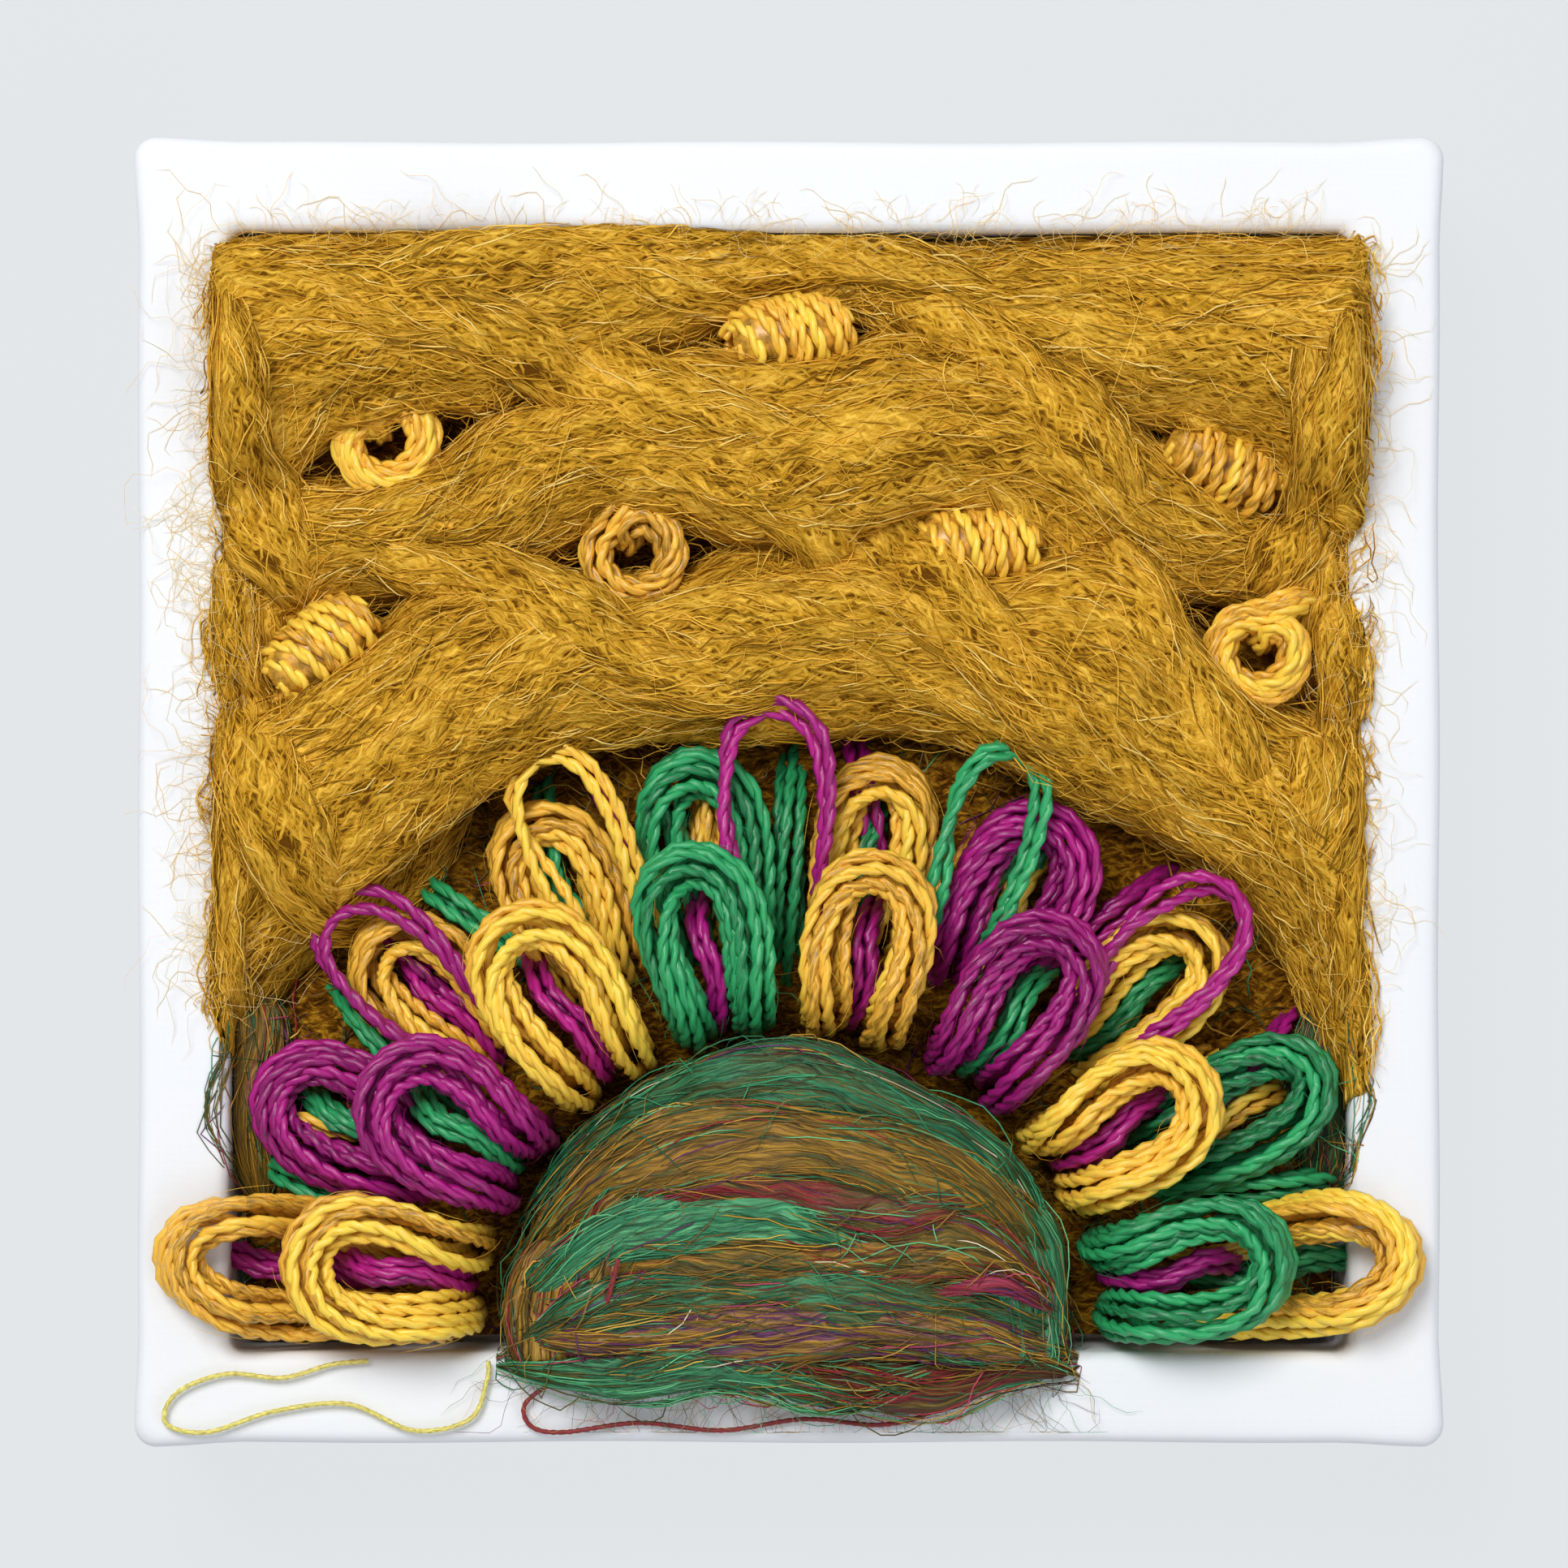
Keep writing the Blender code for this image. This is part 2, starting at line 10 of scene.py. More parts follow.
import bpy
import numpy as np
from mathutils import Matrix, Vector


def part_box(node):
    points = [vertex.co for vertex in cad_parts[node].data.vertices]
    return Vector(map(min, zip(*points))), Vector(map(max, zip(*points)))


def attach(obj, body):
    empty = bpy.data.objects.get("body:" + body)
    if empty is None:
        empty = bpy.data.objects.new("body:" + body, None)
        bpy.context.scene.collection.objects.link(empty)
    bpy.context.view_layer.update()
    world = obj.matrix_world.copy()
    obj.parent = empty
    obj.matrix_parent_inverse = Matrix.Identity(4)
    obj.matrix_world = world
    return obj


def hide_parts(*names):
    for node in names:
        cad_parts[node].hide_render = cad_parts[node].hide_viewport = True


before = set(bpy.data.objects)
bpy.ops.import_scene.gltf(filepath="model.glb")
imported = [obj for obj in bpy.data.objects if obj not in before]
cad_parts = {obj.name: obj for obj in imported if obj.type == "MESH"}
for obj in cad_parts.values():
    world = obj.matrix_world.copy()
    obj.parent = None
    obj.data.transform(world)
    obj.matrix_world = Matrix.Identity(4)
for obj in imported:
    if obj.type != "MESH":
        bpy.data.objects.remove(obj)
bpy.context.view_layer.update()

# Camera
# The photograph looks straight down on the face from about half an arm's length, a hair to the
# left of its middle and above it. The frame is 1617 of the picture's 1932 pixels wide.
MM = 0.001
face_low, face_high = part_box("canvas_frame")
SIDE = face_high.x - face_low.x
FACE = face_high.z
CAMERA_UP = 350 * MM
FRAME_SHARE = 1617 / 1932
SENSOR = 36.0
camera = bpy.data.objects.new("camera", bpy.data.cameras.new("camera"))
bpy.context.scene.collection.objects.link(camera)
camera.data.sensor_width = SENSOR
camera.data.lens = SENSOR * CAMERA_UP * FRAME_SHARE / SIDE
camera.location = (-0.26 * MM, 0.43 * MM, FACE + CAMERA_UP)
bpy.context.scene.camera = camera


# Loose threads
# Two fine ends of two-ply sewing thread, one red and one yellow, that were caught in the fibre.
# They come out of it and lie over the lower bar. Each is one tube whose section has two lobes.
THREAD = 0.3 * MM
THREAD_PITCH = 0.9 * MM  # along the thread, for one full turn of its two plies
THREAD_RINGS = 200
THREAD_SIDES = 10
THREAD_UP = (0.3, 0.2, 1.0)  # reference for the frames of the threads' own paths
SPAN_STEPS = 24  # of a curve between two of its points
RED_ROUTE = (
    (-9.0, -24.6, 19.6),
    (-9.5, -26.6, 19.3),
    (-10.0, -28.3, 18.4),
    (-10.6, -29.8, 16.8),
    (-11.6, -31.0, 15.5),
    (-13.0, -31.7, 15.5),
    (-14.1, -32.7, 15.5),
    (-13.7, -33.8, 15.5),
    (-12.0, -34.1, 15.5),
    (-8.0, -33.6, 15.5),
    (-3.6, -34.0, 15.5),
    (0.8, -33.4, 15.5),
    (5.0, -33.7, 15.5),
    (7.8, -32.8, 15.5),
    (7.4, -31.0, 15.5),
)
YELLOW_ROUTE = (
    (-22.4, -30.3, 15.5),
    (-24.4, -30.5, 15.5),
    (-27.0, -31.2, 15.5),
    (-30.0, -31.0, 15.5),
    (-32.6, -32.0, 15.5),
    (-33.2, -33.6, 15.5),
    (-31.0, -34.1, 15.5),
    (-27.5, -33.0, 15.5),
    (-23.5, -32.6, 15.5),
    (-20.0, -34.0, 15.5),
    (-17.0, -33.4, 15.5),
    (-16.1, -31.4, 15.5),
    (-16.0, -30.3, 15.5),
)
RED = (0.26, 0.012, 0.015)
YELLOW = (0.86, 0.68, 0.16)
LEVEL_UP = (0.09, 0.06, 1.0)  # reference for the frames of paths that never stand upright


def unit(vectors):
    """Each vector divided by its length."""
    return vectors / np.maximum(np.linalg.norm(vectors, axis=-1, keepdims=True), 1e-12)


def smooth_path(points, count):
    """Catmull-Rom curve through the points, each span a cubic of the four points round it, read at
    equal steps of its length."""
    points = np.array(points, float)
    padded = np.vstack([2 * points[0] - points[1], points, 2 * points[-1] - points[-2]])
    t = np.linspace(0, 1, SPAN_STEPS, endpoint=False)[:, None, None]
    a, b, c, d = padded[:-3], padded[1:-2], padded[2:-1], padded[3:]
    bend = (3 * b - a - 3 * c + d) * t**3 + (2 * a - 5 * b + 4 * c - d) * t**2
    spans = (bend + (c - a) * t + 2 * b) / 2
    dense = np.vstack([spans.transpose(1, 0, 2).reshape(-1, 3), points[-1:]])
    run = path_run(dense)
    return read_table(np.linspace(0, 1, count) * run[-1], run, dense)


def read_table(at, places, table):
    """Every column of a table, whose rows stand at places, read in between them."""
    return np.stack([np.interp(at, places, column) for column in table.T], -1)


def path_run(path):
    """Distance run along a path at each of its points. It takes many paths at once."""
    steps = np.linalg.norm(np.diff(path, axis=-2), axis=-1)
    return np.concatenate([np.zeros_like(steps[..., :1]), np.cumsum(steps, axis=-1)], -1)


def path_frame(path, up):
    """At each point the direction of the path, the one to its left (up cross direction), and the one
    square to both. up may be one vector or one for each path."""
    ahead = unit(np.gradient(path, axis=-2))
    left = unit(np.cross(np.asarray(up, float), ahead))
    return ahead, left, np.cross(ahead, left)


def finish(name):
    """A new material's node tree and its Principled shader."""
    material = bpy.data.materials.new(name)
    material.use_nodes = True
    return material, material.node_tree, material.node_tree.nodes["Principled BSDF"]


def node(tree, kind, settings=(), **sockets):
    """A shader node with its settings and its sockets' values. A socket given as an output is linked."""
    made = tree.nodes.new("ShaderNode" + kind)
    for key, value in dict(settings).items():
        setattr(made, key, value)
    for key, value in sockets.items():
        socket = made.inputs[int(key[1:])] if key[1:].isdigit() else made.inputs[key.replace("_", " ")]
        if isinstance(value, bpy.types.NodeSocket):
            tree.links.new(value, socket)
        else:
            socket.default_value = value
    return made


def ramp(tree, factor, stops):
    """A colour ramp through (place, colour) stops."""
    made = node(tree, "ValToRGB", Fac=factor)
    while len(made.color_ramp.elements) < len(stops):
        made.color_ramp.elements.new(0.5)
    for element, (place, colour) in zip(made.color_ramp.elements, stops):
        element.position = place
        element.color = (*colour, 1)
    return made.outputs["Color"]


def shaded(colour, share):
    """A colour darkened, below 1, or lightened."""
    return tuple(min(channel * share, 1.0) for channel in colour)


def maths(tree, operation, *values):
    """The result of a Math node."""
    sockets = {f"_{index}": value for index, value in enumerate(values)}
    return node(tree, "Math", {"operation": operation}, **sockets).outputs[0]


def own_map(tree):
    """The piece's own map: millimetres along its fibres, and across them."""
    return node(tree, "UVMap", {"uv_map": "flow"}).outputs["UV"]


def coat(tree, shader, colour, roughness, specular):
    """Link a colour to the shader and set its gloss."""
    tree.links.new(colour, shader.inputs["Base Color"])
    shader.inputs["Roughness"].default_value = roughness
    shader.inputs["Specular IOR Level"].default_value = specular


def emboss(tree, shader, height, strength, depth):
    """Link a height to the shader as a bump."""
    bump = node(tree, "Bump", Height=height, Strength=strength, Distance=depth)
    tree.links.new(bump.outputs["Normal"], shader.inputs["Normal"])


def add_mesh(name, points, faces, material, uv=None, tone=None, dye=None):
    """A smooth mesh object. points is (n, 3); faces is a list of (count, corners) index arrays; uv has a
    pair for each corner; tone is a number and dye a colour for each point."""
    corners = np.concatenate([part.ravel() for part in faces]).astype(np.int32)
    sizes = np.concatenate([np.full(len(part), part.shape[1]) for part in faces])
    starts = (np.cumsum(sizes) - sizes).astype(np.int32)
    mesh = bpy.data.meshes.new(name)
    mesh.vertices.add(len(points))
    mesh.vertices.foreach_set("co", np.asarray(points, np.float32).ravel())
    mesh.loops.add(len(corners))
    mesh.loops.foreach_set("vertex_index", corners)
    mesh.polygons.add(len(sizes))
    mesh.polygons.foreach_set("loop_start", starts)
    mesh.update(calc_edges=True)
    mesh.shade_smooth()
    if uv is not None:
        layer = mesh.uv_layers.new(name="flow")
        layer.uv.foreach_set("vector", np.asarray(uv, np.float32).ravel())
    if tone is not None:
        mesh.attributes.new("tone", "FLOAT", "POINT").data.foreach_set("value", np.float32(tone).ravel())
    if dye is not None:
        rgba = np.ones((len(points), 4), np.float32)
        rgba[:, :3] = dye
        mesh.attributes.new("dye", "FLOAT_COLOR", "POINT").data.foreach_set("color", rgba.ravel())
    mesh.materials.append(material)
    made = bpy.data.objects.new(name, mesh)
    bpy.context.scene.collection.objects.link(made)
    return made


def ring_faces(tubes, rings, sides):
    """Quads between the rings of each tube, and a flat cap on each of its ends, facing outwards."""
    ring = np.arange(rings - 1)[:, None] * sides
    here = np.arange(sides)
    after = (here + 1) % sides
    quads = np.stack([ring + here, ring + after, ring + sides + after, ring + sides + here], -1)
    start = np.arange(tubes)[:, None] * rings * sides
    quads = (quads.reshape(1, -1) + start).reshape(-1, 4)
    caps = np.stack([here[::-1], here + (rings - 1) * sides])
    caps = (caps.reshape(1, -1) + start).reshape(-1, sides)
    return quads, caps


def corner_map(flat):
    """The map's values at the four corners of each quad of a grid, in the order of its quads."""
    corners = [flat[..., :-1, :-1, :], flat[..., :-1, 1:, :], flat[..., 1:, 1:, :], flat[..., 1:, :-1, :]]
    return np.stack(corners, -2).reshape(-1, 2)


def add_tubes(name, paths, radii, sides, up, material, tone=None, dye=None):
    """Closed tubes round many paths at once, each ring square to its path. paths is (tubes, rings, 3)
    and radii (tubes, rings), or (tubes, rings, sides) where a ring isn't a circle. The map has
    millimetres along, and turns across."""
    tubes, rings, _ = paths.shape
    _, left, rise = path_frame(paths, up)
    turn = np.arange(sides) * math.tau / sides
    circle = left[:, :, None] * np.cos(turn)[:, None] + rise[:, :, None] * np.sin(turn)[:, None]
    points = paths[:, :, None] + circle * radii.reshape(tubes, rings, -1, 1)
    quads, caps = ring_faces(tubes, rings, sides)
    run = path_run(paths)[:, :, None] / MM
    flat = np.stack(np.broadcast_arrays(run, np.arange(sides + 1) / sides), -1)
    uv = np.concatenate([corner_map(flat), np.zeros((caps.size, 2))])
    if tone is not None:
        tone = np.repeat(tone, rings * sides)
    if dye is not None:
        dye = np.repeat(dye, rings * sides, axis=0)
    return add_mesh(name, points.reshape(-1, 3), [quads, caps], material, uv, tone, dye)


def add_piece(piece, stands_for=None):
    """Nothing on the picture moves, so every piece rides on its one body. It may stand for a solid."""
    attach(piece, "root")
    if stands_for is not None:
        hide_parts(stands_for)
    return piece


def thread_finish(name, colour):
    """Twisted cotton: the colour darkens and lightens along the thread, with fine fibre across it."""
    material, tree, shader = finish(name)
    drawn = node(tree, "Mapping", Vector=own_map(tree), Scale=(3.0, 9.0, 1.0)).outputs["Vector"]
    grain = node(tree, "TexNoise", Vector=drawn, Scale=1.0, Detail=3.0).outputs["Fac"]
    stops = [(0.3, shaded(colour, 0.5)), (0.7, shaded(colour, 1.35))]
    coat(tree, shader, ramp(tree, grain, stops), 0.5, 0.5)
    emboss(tree, shader, grain, 0.5, 0.03 * MM)
    shader.inputs["Sheen Weight"].default_value = 0.2
    return material


def two_ply_thread(name, route, colour):
    """Section radius at each angle: nearly half the diameter, with two lobes that turn along the path."""
    path = smooth_path(np.array(route) * MM, THREAD_RINGS)
    turn = np.arange(THREAD_SIDES) * math.tau / THREAD_SIDES
    spin = path_run(path)[:, None] * math.tau / THREAD_PITCH
    radius = THREAD / 2 * (0.86 + 0.14 * np.cos(2 * (turn - spin)))
    cotton = thread_finish(name + "_cotton", colour)
    return add_tubes(name, path[None], radius[None], THREAD_SIDES, THREAD_UP, cotton), path


for cord_name, cord_route, cord_colour, cord_node in (
    ("red_end", RED_ROUTE, RED, "red_thread"),
    ("yellow_end", YELLOW_ROUTE, YELLOW, "yellow_thread"),
):
    cord, cord_path = two_ply_thread(cord_name, cord_route, cord_colour)
    add_piece(cord, cord_node)


# Frame
# Four pine bars wrapped in primed white canvas, which is folded at the corners and so stands out
# there a little. The canvas is pulled tight, so only its fine weave and a soft ripple show.
FOLD = 0.25 * MM
FOLD_LENGTH = 5 * MM
RAIL = 5.1 * MM
EDGE = 0.8 * MM
CORNER = 1.2 * MM
HALF = SIDE / 2
WINDOW = HALF - RAIL
WINDOW_CORNER = 0.8 * MM
RIPPLE = 0.05 * MM
WEAVE = 0.42 * MM  # from one yarn of the canvas to the next
CANVAS = (0.87, 0.895, 0.94)
BAR_STEPS = 44  # along one bar
EDGE_STEPS = 5
CORNER_STEPS = 9
TOP_STEPS = 6
WALL_STEPS = 12
QUARTERS = ((1, 0), (0, 1), (-1, 0), (0, -1))  # cosine and sine of each quarter turn


def canvas_finish(name, colour):
    """Plain weave under primer: fine yarns at right angles, half filled by the paint."""
    material, tree, shader = finish(name)
    place = node(tree, "TexCoord").outputs["Object"]
    wave = {"Scale": math.tau / WEAVE / 20, "Distortion": 0.6, "Detail_Scale": 300.0}
    yarns = 0.0
    for axis in "XYZ":
        bands = {"wave_type": "BANDS", "bands_direction": axis, "wave_profile": "SIN"}
        across = node(tree, "TexWave", bands, Vector=place, **wave).outputs["Fac"]
        yarns = maths(tree, "MAXIMUM", yarns, across)
    paint = node(tree, "TexNoise", Vector=place, Scale=900.0, Detail=4.0).outputs["Fac"]
    emboss(tree, shader, maths(tree, "MULTIPLY_ADD", yarns, 0.5, paint), 0.35, 0.05 * MM)
    cloud = node(tree, "TexNoise", Vector=place, Scale=60.0, Detail=3.0).outputs["Fac"]
    coat(tree, shader, ramp(tree, cloud, [(0.3, shaded(colour, 0.965)), (0.75, colour)]), 0.62, 0.3)
    return material


def all_round(quarter):
    """A quarter of an outline, repeated at each quarter turn."""
    return np.concatenate([quarter @ np.array([[c, s], [-s, c]]) for c, s in QUARTERS])


def bar_outlines():
    """The outer and the inner outline, paired point by point. Each quarter runs along one bar and
    round the corner after it: the outer one flares by FOLD near its corners as a half cosine."""
    inset = HALF - CORNER
    along = np.linspace(-1, 1, BAR_STEPS, endpoint=False)
    near_corner = np.clip((np.abs(along) * inset - (inset - FOLD_LENGTH)) / FOLD_LENGTH, 0, 1)
    flare = FOLD * (0.5 - 0.5 * np.cos(near_corner * math.pi))
    ripple = RIPPLE * np.sin(along * 9 + 1) * (1 - near_corner)
    outer = np.stack([along * inset, -(HALF - FOLD + flare + ripple)], -1)
    inner = np.stack([along * (WINDOW - WINDOW_CORNER), np.full_like(along, -WINDOW)], -1)
    turn = np.linspace(-math.pi / 2, 0, CORNER_STEPS, endpoint=False)
    arc = np.stack([np.cos(turn), np.sin(turn)], -1)
    middle = np.array([1, -1])
    outer = np.concatenate([outer, middle * inset + CORNER * arc])
    inner = np.concatenate([inner, middle * (WINDOW - WINDOW_CORNER) + WINDOW_CORNER * arc])
    return all_round(outer), all_round(inner)


def bar_section():
    """A bar's section as (share of the way in, height): a rectangle whose four edges are rounded."""
    turn = np.linspace(0, math.pi / 2, EDGE_STEPS)
    inward = EDGE * (1 - np.cos(turn))
    climb = EDGE * np.sin(turn)
    outer_side = np.stack([inward, FACE - EDGE + climb], -1)
    inner_side = np.stack([RAIL - inward[::-1], FACE - EDGE + climb[::-1]], -1)
    top = np.stack([np.linspace(EDGE, RAIL - EDGE, TOP_STEPS)[1:-1], np.full(TOP_STEPS - 2, FACE)], -1)
    upper = np.concatenate([outer_side, top, inner_side])
    walls = np.linspace(EDGE, FACE - EDGE, WALL_STEPS)[1:-1]
    inner_wall = np.stack([np.full_like(walls, RAIL), walls[::-1]], -1)
    outer_wall = np.stack([np.zeros_like(walls), walls], -1)
    lower = upper[::-1] * (1, -1) + (0, FACE)
    section = np.concatenate([upper, inner_wall, lower, outer_wall])
    return section[:, 0] / RAIL, section[:, 1]


def make_bars():
    """Each outline point is carried inwards by the section's share and up by its height, and the last
    station joins on to the first."""
    outer, inner = bar_outlines()
    share, height = bar_section()
    flat = outer[:, None] + (inner - outer)[:, None] * share[:, None]
    stations, rows = flat.shape[:2]
    points = np.concatenate([flat, np.broadcast_to(height[:, None], (stations, rows, 1))], -1)
    station = np.arange(stations)[:, None] * rows
    after = (np.arange(stations)[:, None] + 1) % stations * rows
    here = np.arange(rows)
    beyond = (here + 1) % rows
    quads = np.stack([station + here, after + here, after + beyond, station + beyond], -1)
    return points.reshape(-1, 3), quads.reshape(-1, 4)


bar_points, bar_quads = make_bars()
canvas_white = canvas_finish("primed_canvas", CANVAS)
add_piece(add_mesh("canvas_bars", bar_points, [bar_quads], canvas_white), "canvas_frame")


# Back canvas
# One flat piece of the same canvas, stretched across the back of the bars behind the wool and held
# by them on all four sides. It hollows a little in its middle.
BACK_CELLS = 48
BACK_SLACK = 0.06 * MM


def grid_slab(low, high, cells, top, bottom):
    """A closed slab over a rectangle: a grid whose top and bottom heights are functions of x and y."""
    side_x = np.linspace(low[0], high[0], cells + 1)
    side_y = np.linspace(low[1], high[1], cells + 1)
    x, y = np.meshgrid(side_x, side_y, indexing="ij")
    upper = np.stack([x, y, top(x, y)], -1).reshape(-1, 3)
    under = np.stack([x, y, bottom(x, y)], -1).reshape(-1, 3)
    wide = cells + 1
    index = np.arange(wide * wide).reshape(wide, wide)
    quads = np.stack([index[:-1, :-1], index[1:, :-1], index[1:, 1:], index[:-1, 1:]], -1).reshape(-1, 4)
    rim = np.concatenate([index[:-1, 0], index[-1, :-1], index[:0:-1, -1], index[0, :0:-1]])
    after = np.roll(rim, -1)
    count = wide * wide
    walls = np.stack([rim + count, after + count, after, rim], -1)
    return np.concatenate([upper, under]), [quads, quads[:, ::-1] + count, walls]


back_low, back_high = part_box("back_panel")


def level(height):
    """A height that is the same at every place."""
    return lambda x, y: height + 0 * x


def back_under(x, y):
    """The sheet's underside, a little hollow in its middle: a cosine each way."""
    turn_x = x * math.pi / back_high.x / 2
    turn_y = y * math.pi / back_high.y / 2
    return back_low.z + BACK_SLACK * np.cos(turn_x) * np.cos(turn_y)


back_points, back_faces = grid_slab(back_low, back_high, BACK_CELLS, level(back_high.z), back_under)
back = add_piece(add_mesh("back_canvas", back_points, back_faces, canvas_white), "back_panel")


# First layer of wool
# Mustard wool felted flat on the canvas with a barbed needle. Only its tangled top shows, in the
# valleys between the ropes and under the loops, where darker fibre is worked in and fluffs it up.
# The felt itself is coloured far darker than the ropes, as painted shade for those valleys.
HEART_Y = -(WINDOW - 0.3 * MM)
# The darkest wool colour is painted shade, for the gaps between wisps and for the low felt in the valleys.
WOOL_GAP_SHADE = (0.135, 0.050, 0.003)
WOOL_MID = (0.62, 0.315, 0.020)
WOOL_LIGHT = (1.0, 0.610, 0.080)
WOOL_PALE = (1.0, 0.780, 0.260)
MIXED_DYES = (
    (0.018, 0.130, 0.055),
    (0.040, 0.270, 0.120),
    (0.130, 0.470, 0.210),
    (0.090, 0.080, 0.014),
    (0.230, 0.120, 0.016),
    (0.450, 0.240, 0.024),
    (0.640, 0.390, 0.060),
    (0.040, 0.016, 0.007),
    (0.300, 0.018, 0.028),
    (0.480, 0.060, 0.130),
    (0.130, 0.022, 0.120),
    (0.720, 0.640, 0.460),
)
UNDER_SHARES = np.array([4, 2, 0.6, 4, 5, 4, 2, 5, 0.6, 0.3, 0.8, 0.1])
WOOL_SHARES = np.array([0, 0, 0, 0.5, 3, 6, 5, 0.6, 0, 0, 0, 0.3])
BED_CELLS = 60
BED_FIBRES = 650
BED_RINGS = 6
FIBRE_SIDES = 3
LOOPS_MIDDLE = 25.5 * MM  # from the heart: the layer is fluffed up round this arc
LOOPS_REACH = 8.6 * MM
VALLEYS = (43.8 * MM, 53.4 * MM)
FLUFF = 2.5 * MM
DYED_REACH = 33 * MM  # from the heart, within which dyed fibre is worked in


def crimped(tree, flow, slant, along, across):
    """A noise whose grain runs at the angle slant: the map is turned by it, then drawn out."""
    turned = node(tree, "Mapping", Vector=flow, Rotation=(0.0, 0.0, slant)).outputs["Vector"]
    drawn = node(tree, "Mapping", Vector=turned, Scale=(along, across, 1.0)).outputs["Vector"]
    return node(tree, "TexNoise", Vector=drawn, Scale=1.0, Detail=4.0, Roughness=0.6).outputs["Fac"]


def wavy_flow(tree, amount, scale):
    """The piece's own map, pushed about by a slow noise so that its grain waves."""
    place = own_map(tree)
    push = node(tree, "TexNoise", Vector=place, Scale=scale, Detail=2.0).outputs["Color"]
    add = {"operation": "MULTIPLY_ADD"}
    return node(tree, "VectorMath", add, _0=push, _1=(amount, amount, 0.0), _2=place).outputs[0]


def wool_finish(name, gap_shade, middle, light, along=0.62, across=4.6):
    """Crimped wool: the greater of two crossing grains gives the wisps and the dark gaps between
    them, which are painted shade, and a slower noise makes some locks darker."""
    material, tree, shader = finish(name)
    flow = wavy_flow(tree, 1.1, 0.75)
    one = crimped(tree, flow, 0.34, along, across)
    other = crimped(tree, flow, -0.3, along * 0.9, across * 1.1)
    wisps = maths(tree, "MAXIMUM", one, other)
    locks = crimped(tree, flow, 0.0, along / 5, across / 9)
    mixed = maths(tree, "MULTIPLY_ADD", locks, 0.4, wisps)
    # The ramp's dark end is painted shade in the gaps between the wisps.
    coat(tree, shader, ramp(tree, mixed, [(0.62, gap_shade), (0.73, middle), (0.88, light)]), 0.92, 0.05)
    emboss(tree, shader, wisps, 1.0, 0.4 * MM)
    return material


def fibre_finish(name, stops):
    """Single fibres: each has its own tone between the stops."""
    material, tree, shader = finish(name)
    tone = node(tree, "Attribute", {"attribute_name": "tone"}).outputs["Fac"]
    coat(tree, shader, ramp(tree, tone, stops), 0.7, 0.1)
    return material


def dyed_finish(name):
    """Single silky fibres: each has its own dye."""
    material, tree, shader = finish(name)
    coat(tree, shader, node(tree, "Attribute", {"attribute_name": "dye"}).outputs["Color"], 0.4, 0.4)
    return material


def draw_dyes(count, shares):
    """A dye for each fibre, drawn by the shares and made a little lighter or darker."""
    picked = rng.choice(len(MIXED_DYES), count, p=shares / shares.sum())
    return np.array(MIXED_DYES)[picked] * draw(count, 0.65, 1.45)


def taper(rings, radius):
    """Radii of fibres that thin out over their last fifth, for one radius a fibre."""
    share = np.linspace(-1, 1, rings)
    return radius[:, None] * np.clip((1.04 - np.abs(share)) * 5, 0.15, 1)


def spindle(rings, radius):
    """Radii of wisps, which are full in the middle and come to a point at both ends."""
    share = np.linspace(-1, 1, rings)
    return radius[:, None] * (1 - 0.94 * share**2)


def add_fibres(name, paths, thick, shape, material, tone=None, dye=None):
    """Many fibres as one piece, each as thick as its own radius in millimetres. shape is taper or
    spindle."""
    radii = shape(paths.shape[1], thick * MM)
    return add_piece(add_tubes(name, paths, radii, FIBRE_SIDES, LEVEL_UP, material, tone, dye))


def at_height(flat, height):
    """Flat places with their heights."""
    return np.concatenate([flat, height[..., None]], -1)


def clear_of_bars(points, clear):
    """Fibres near the bars ride over the rounded inner edge and the face: where a point is beyond the
    window's side, or so near it that the edge's arc is higher, its height is at least that."""
    beyond = np.abs(points[..., :2]).max(-1) - (WINDOW - clear)
    arc = np.clip(1 - beyond / EDGE, 0, 1)
    least = np.where(beyond > 0, FACE + clear - EDGE * (1 - np.sqrt(1 - arc**2)), 0)
    raised = points.copy()
    raised[..., 2] = np.maximum(points[..., 2], least)
    return raised


def flow_over(points, most):
    """Fibre past the window's side is held by the wall where it lies low. Where it stands over the bar
    it spreads on it, by one less an exponential of how far it is past, and sinks as it spreads. The
    reach of it waves along the bar. most may be one length or one for each fibre."""
    wall = WINDOW - 0.12 * MM
    flat = points[..., :2]
    high = points[..., 2]
    most = np.broadcast_to(most, high.shape)[..., None]
    across = flat[..., :1] - flat[..., 1:]
    along = flat[..., :1] + flat[..., 1:]
    wave = 0.2 * np.sin(across * 430 + 1) * np.cos(along * 270) + 0.12 * np.sin(along * 1500 + across * 300)
    reach = most * (0.68 + wave + 0.08 * np.sin(across * 2300 + 2))
    beyond = np.maximum(np.abs(flat) - wall, 0)
    share = np.clip((high - FACE + 1.0 * MM) / (1.4 * MM), 0, 1)
    spread = reach * (1 - np.exp(-beyond / reach)) * (share**2 * (3 - 2 * share))[..., None]
    flat = np.sign(flat) * (np.minimum(np.abs(flat), wall) + spread)
    far = spread.max(-1)
    high = np.where(high > FACE, FACE + (high - FACE) * np.exp(-1.3 * far / most[..., 0]), high)
    return clear_of_bars(at_height(flat, high), 0.09 * MM)


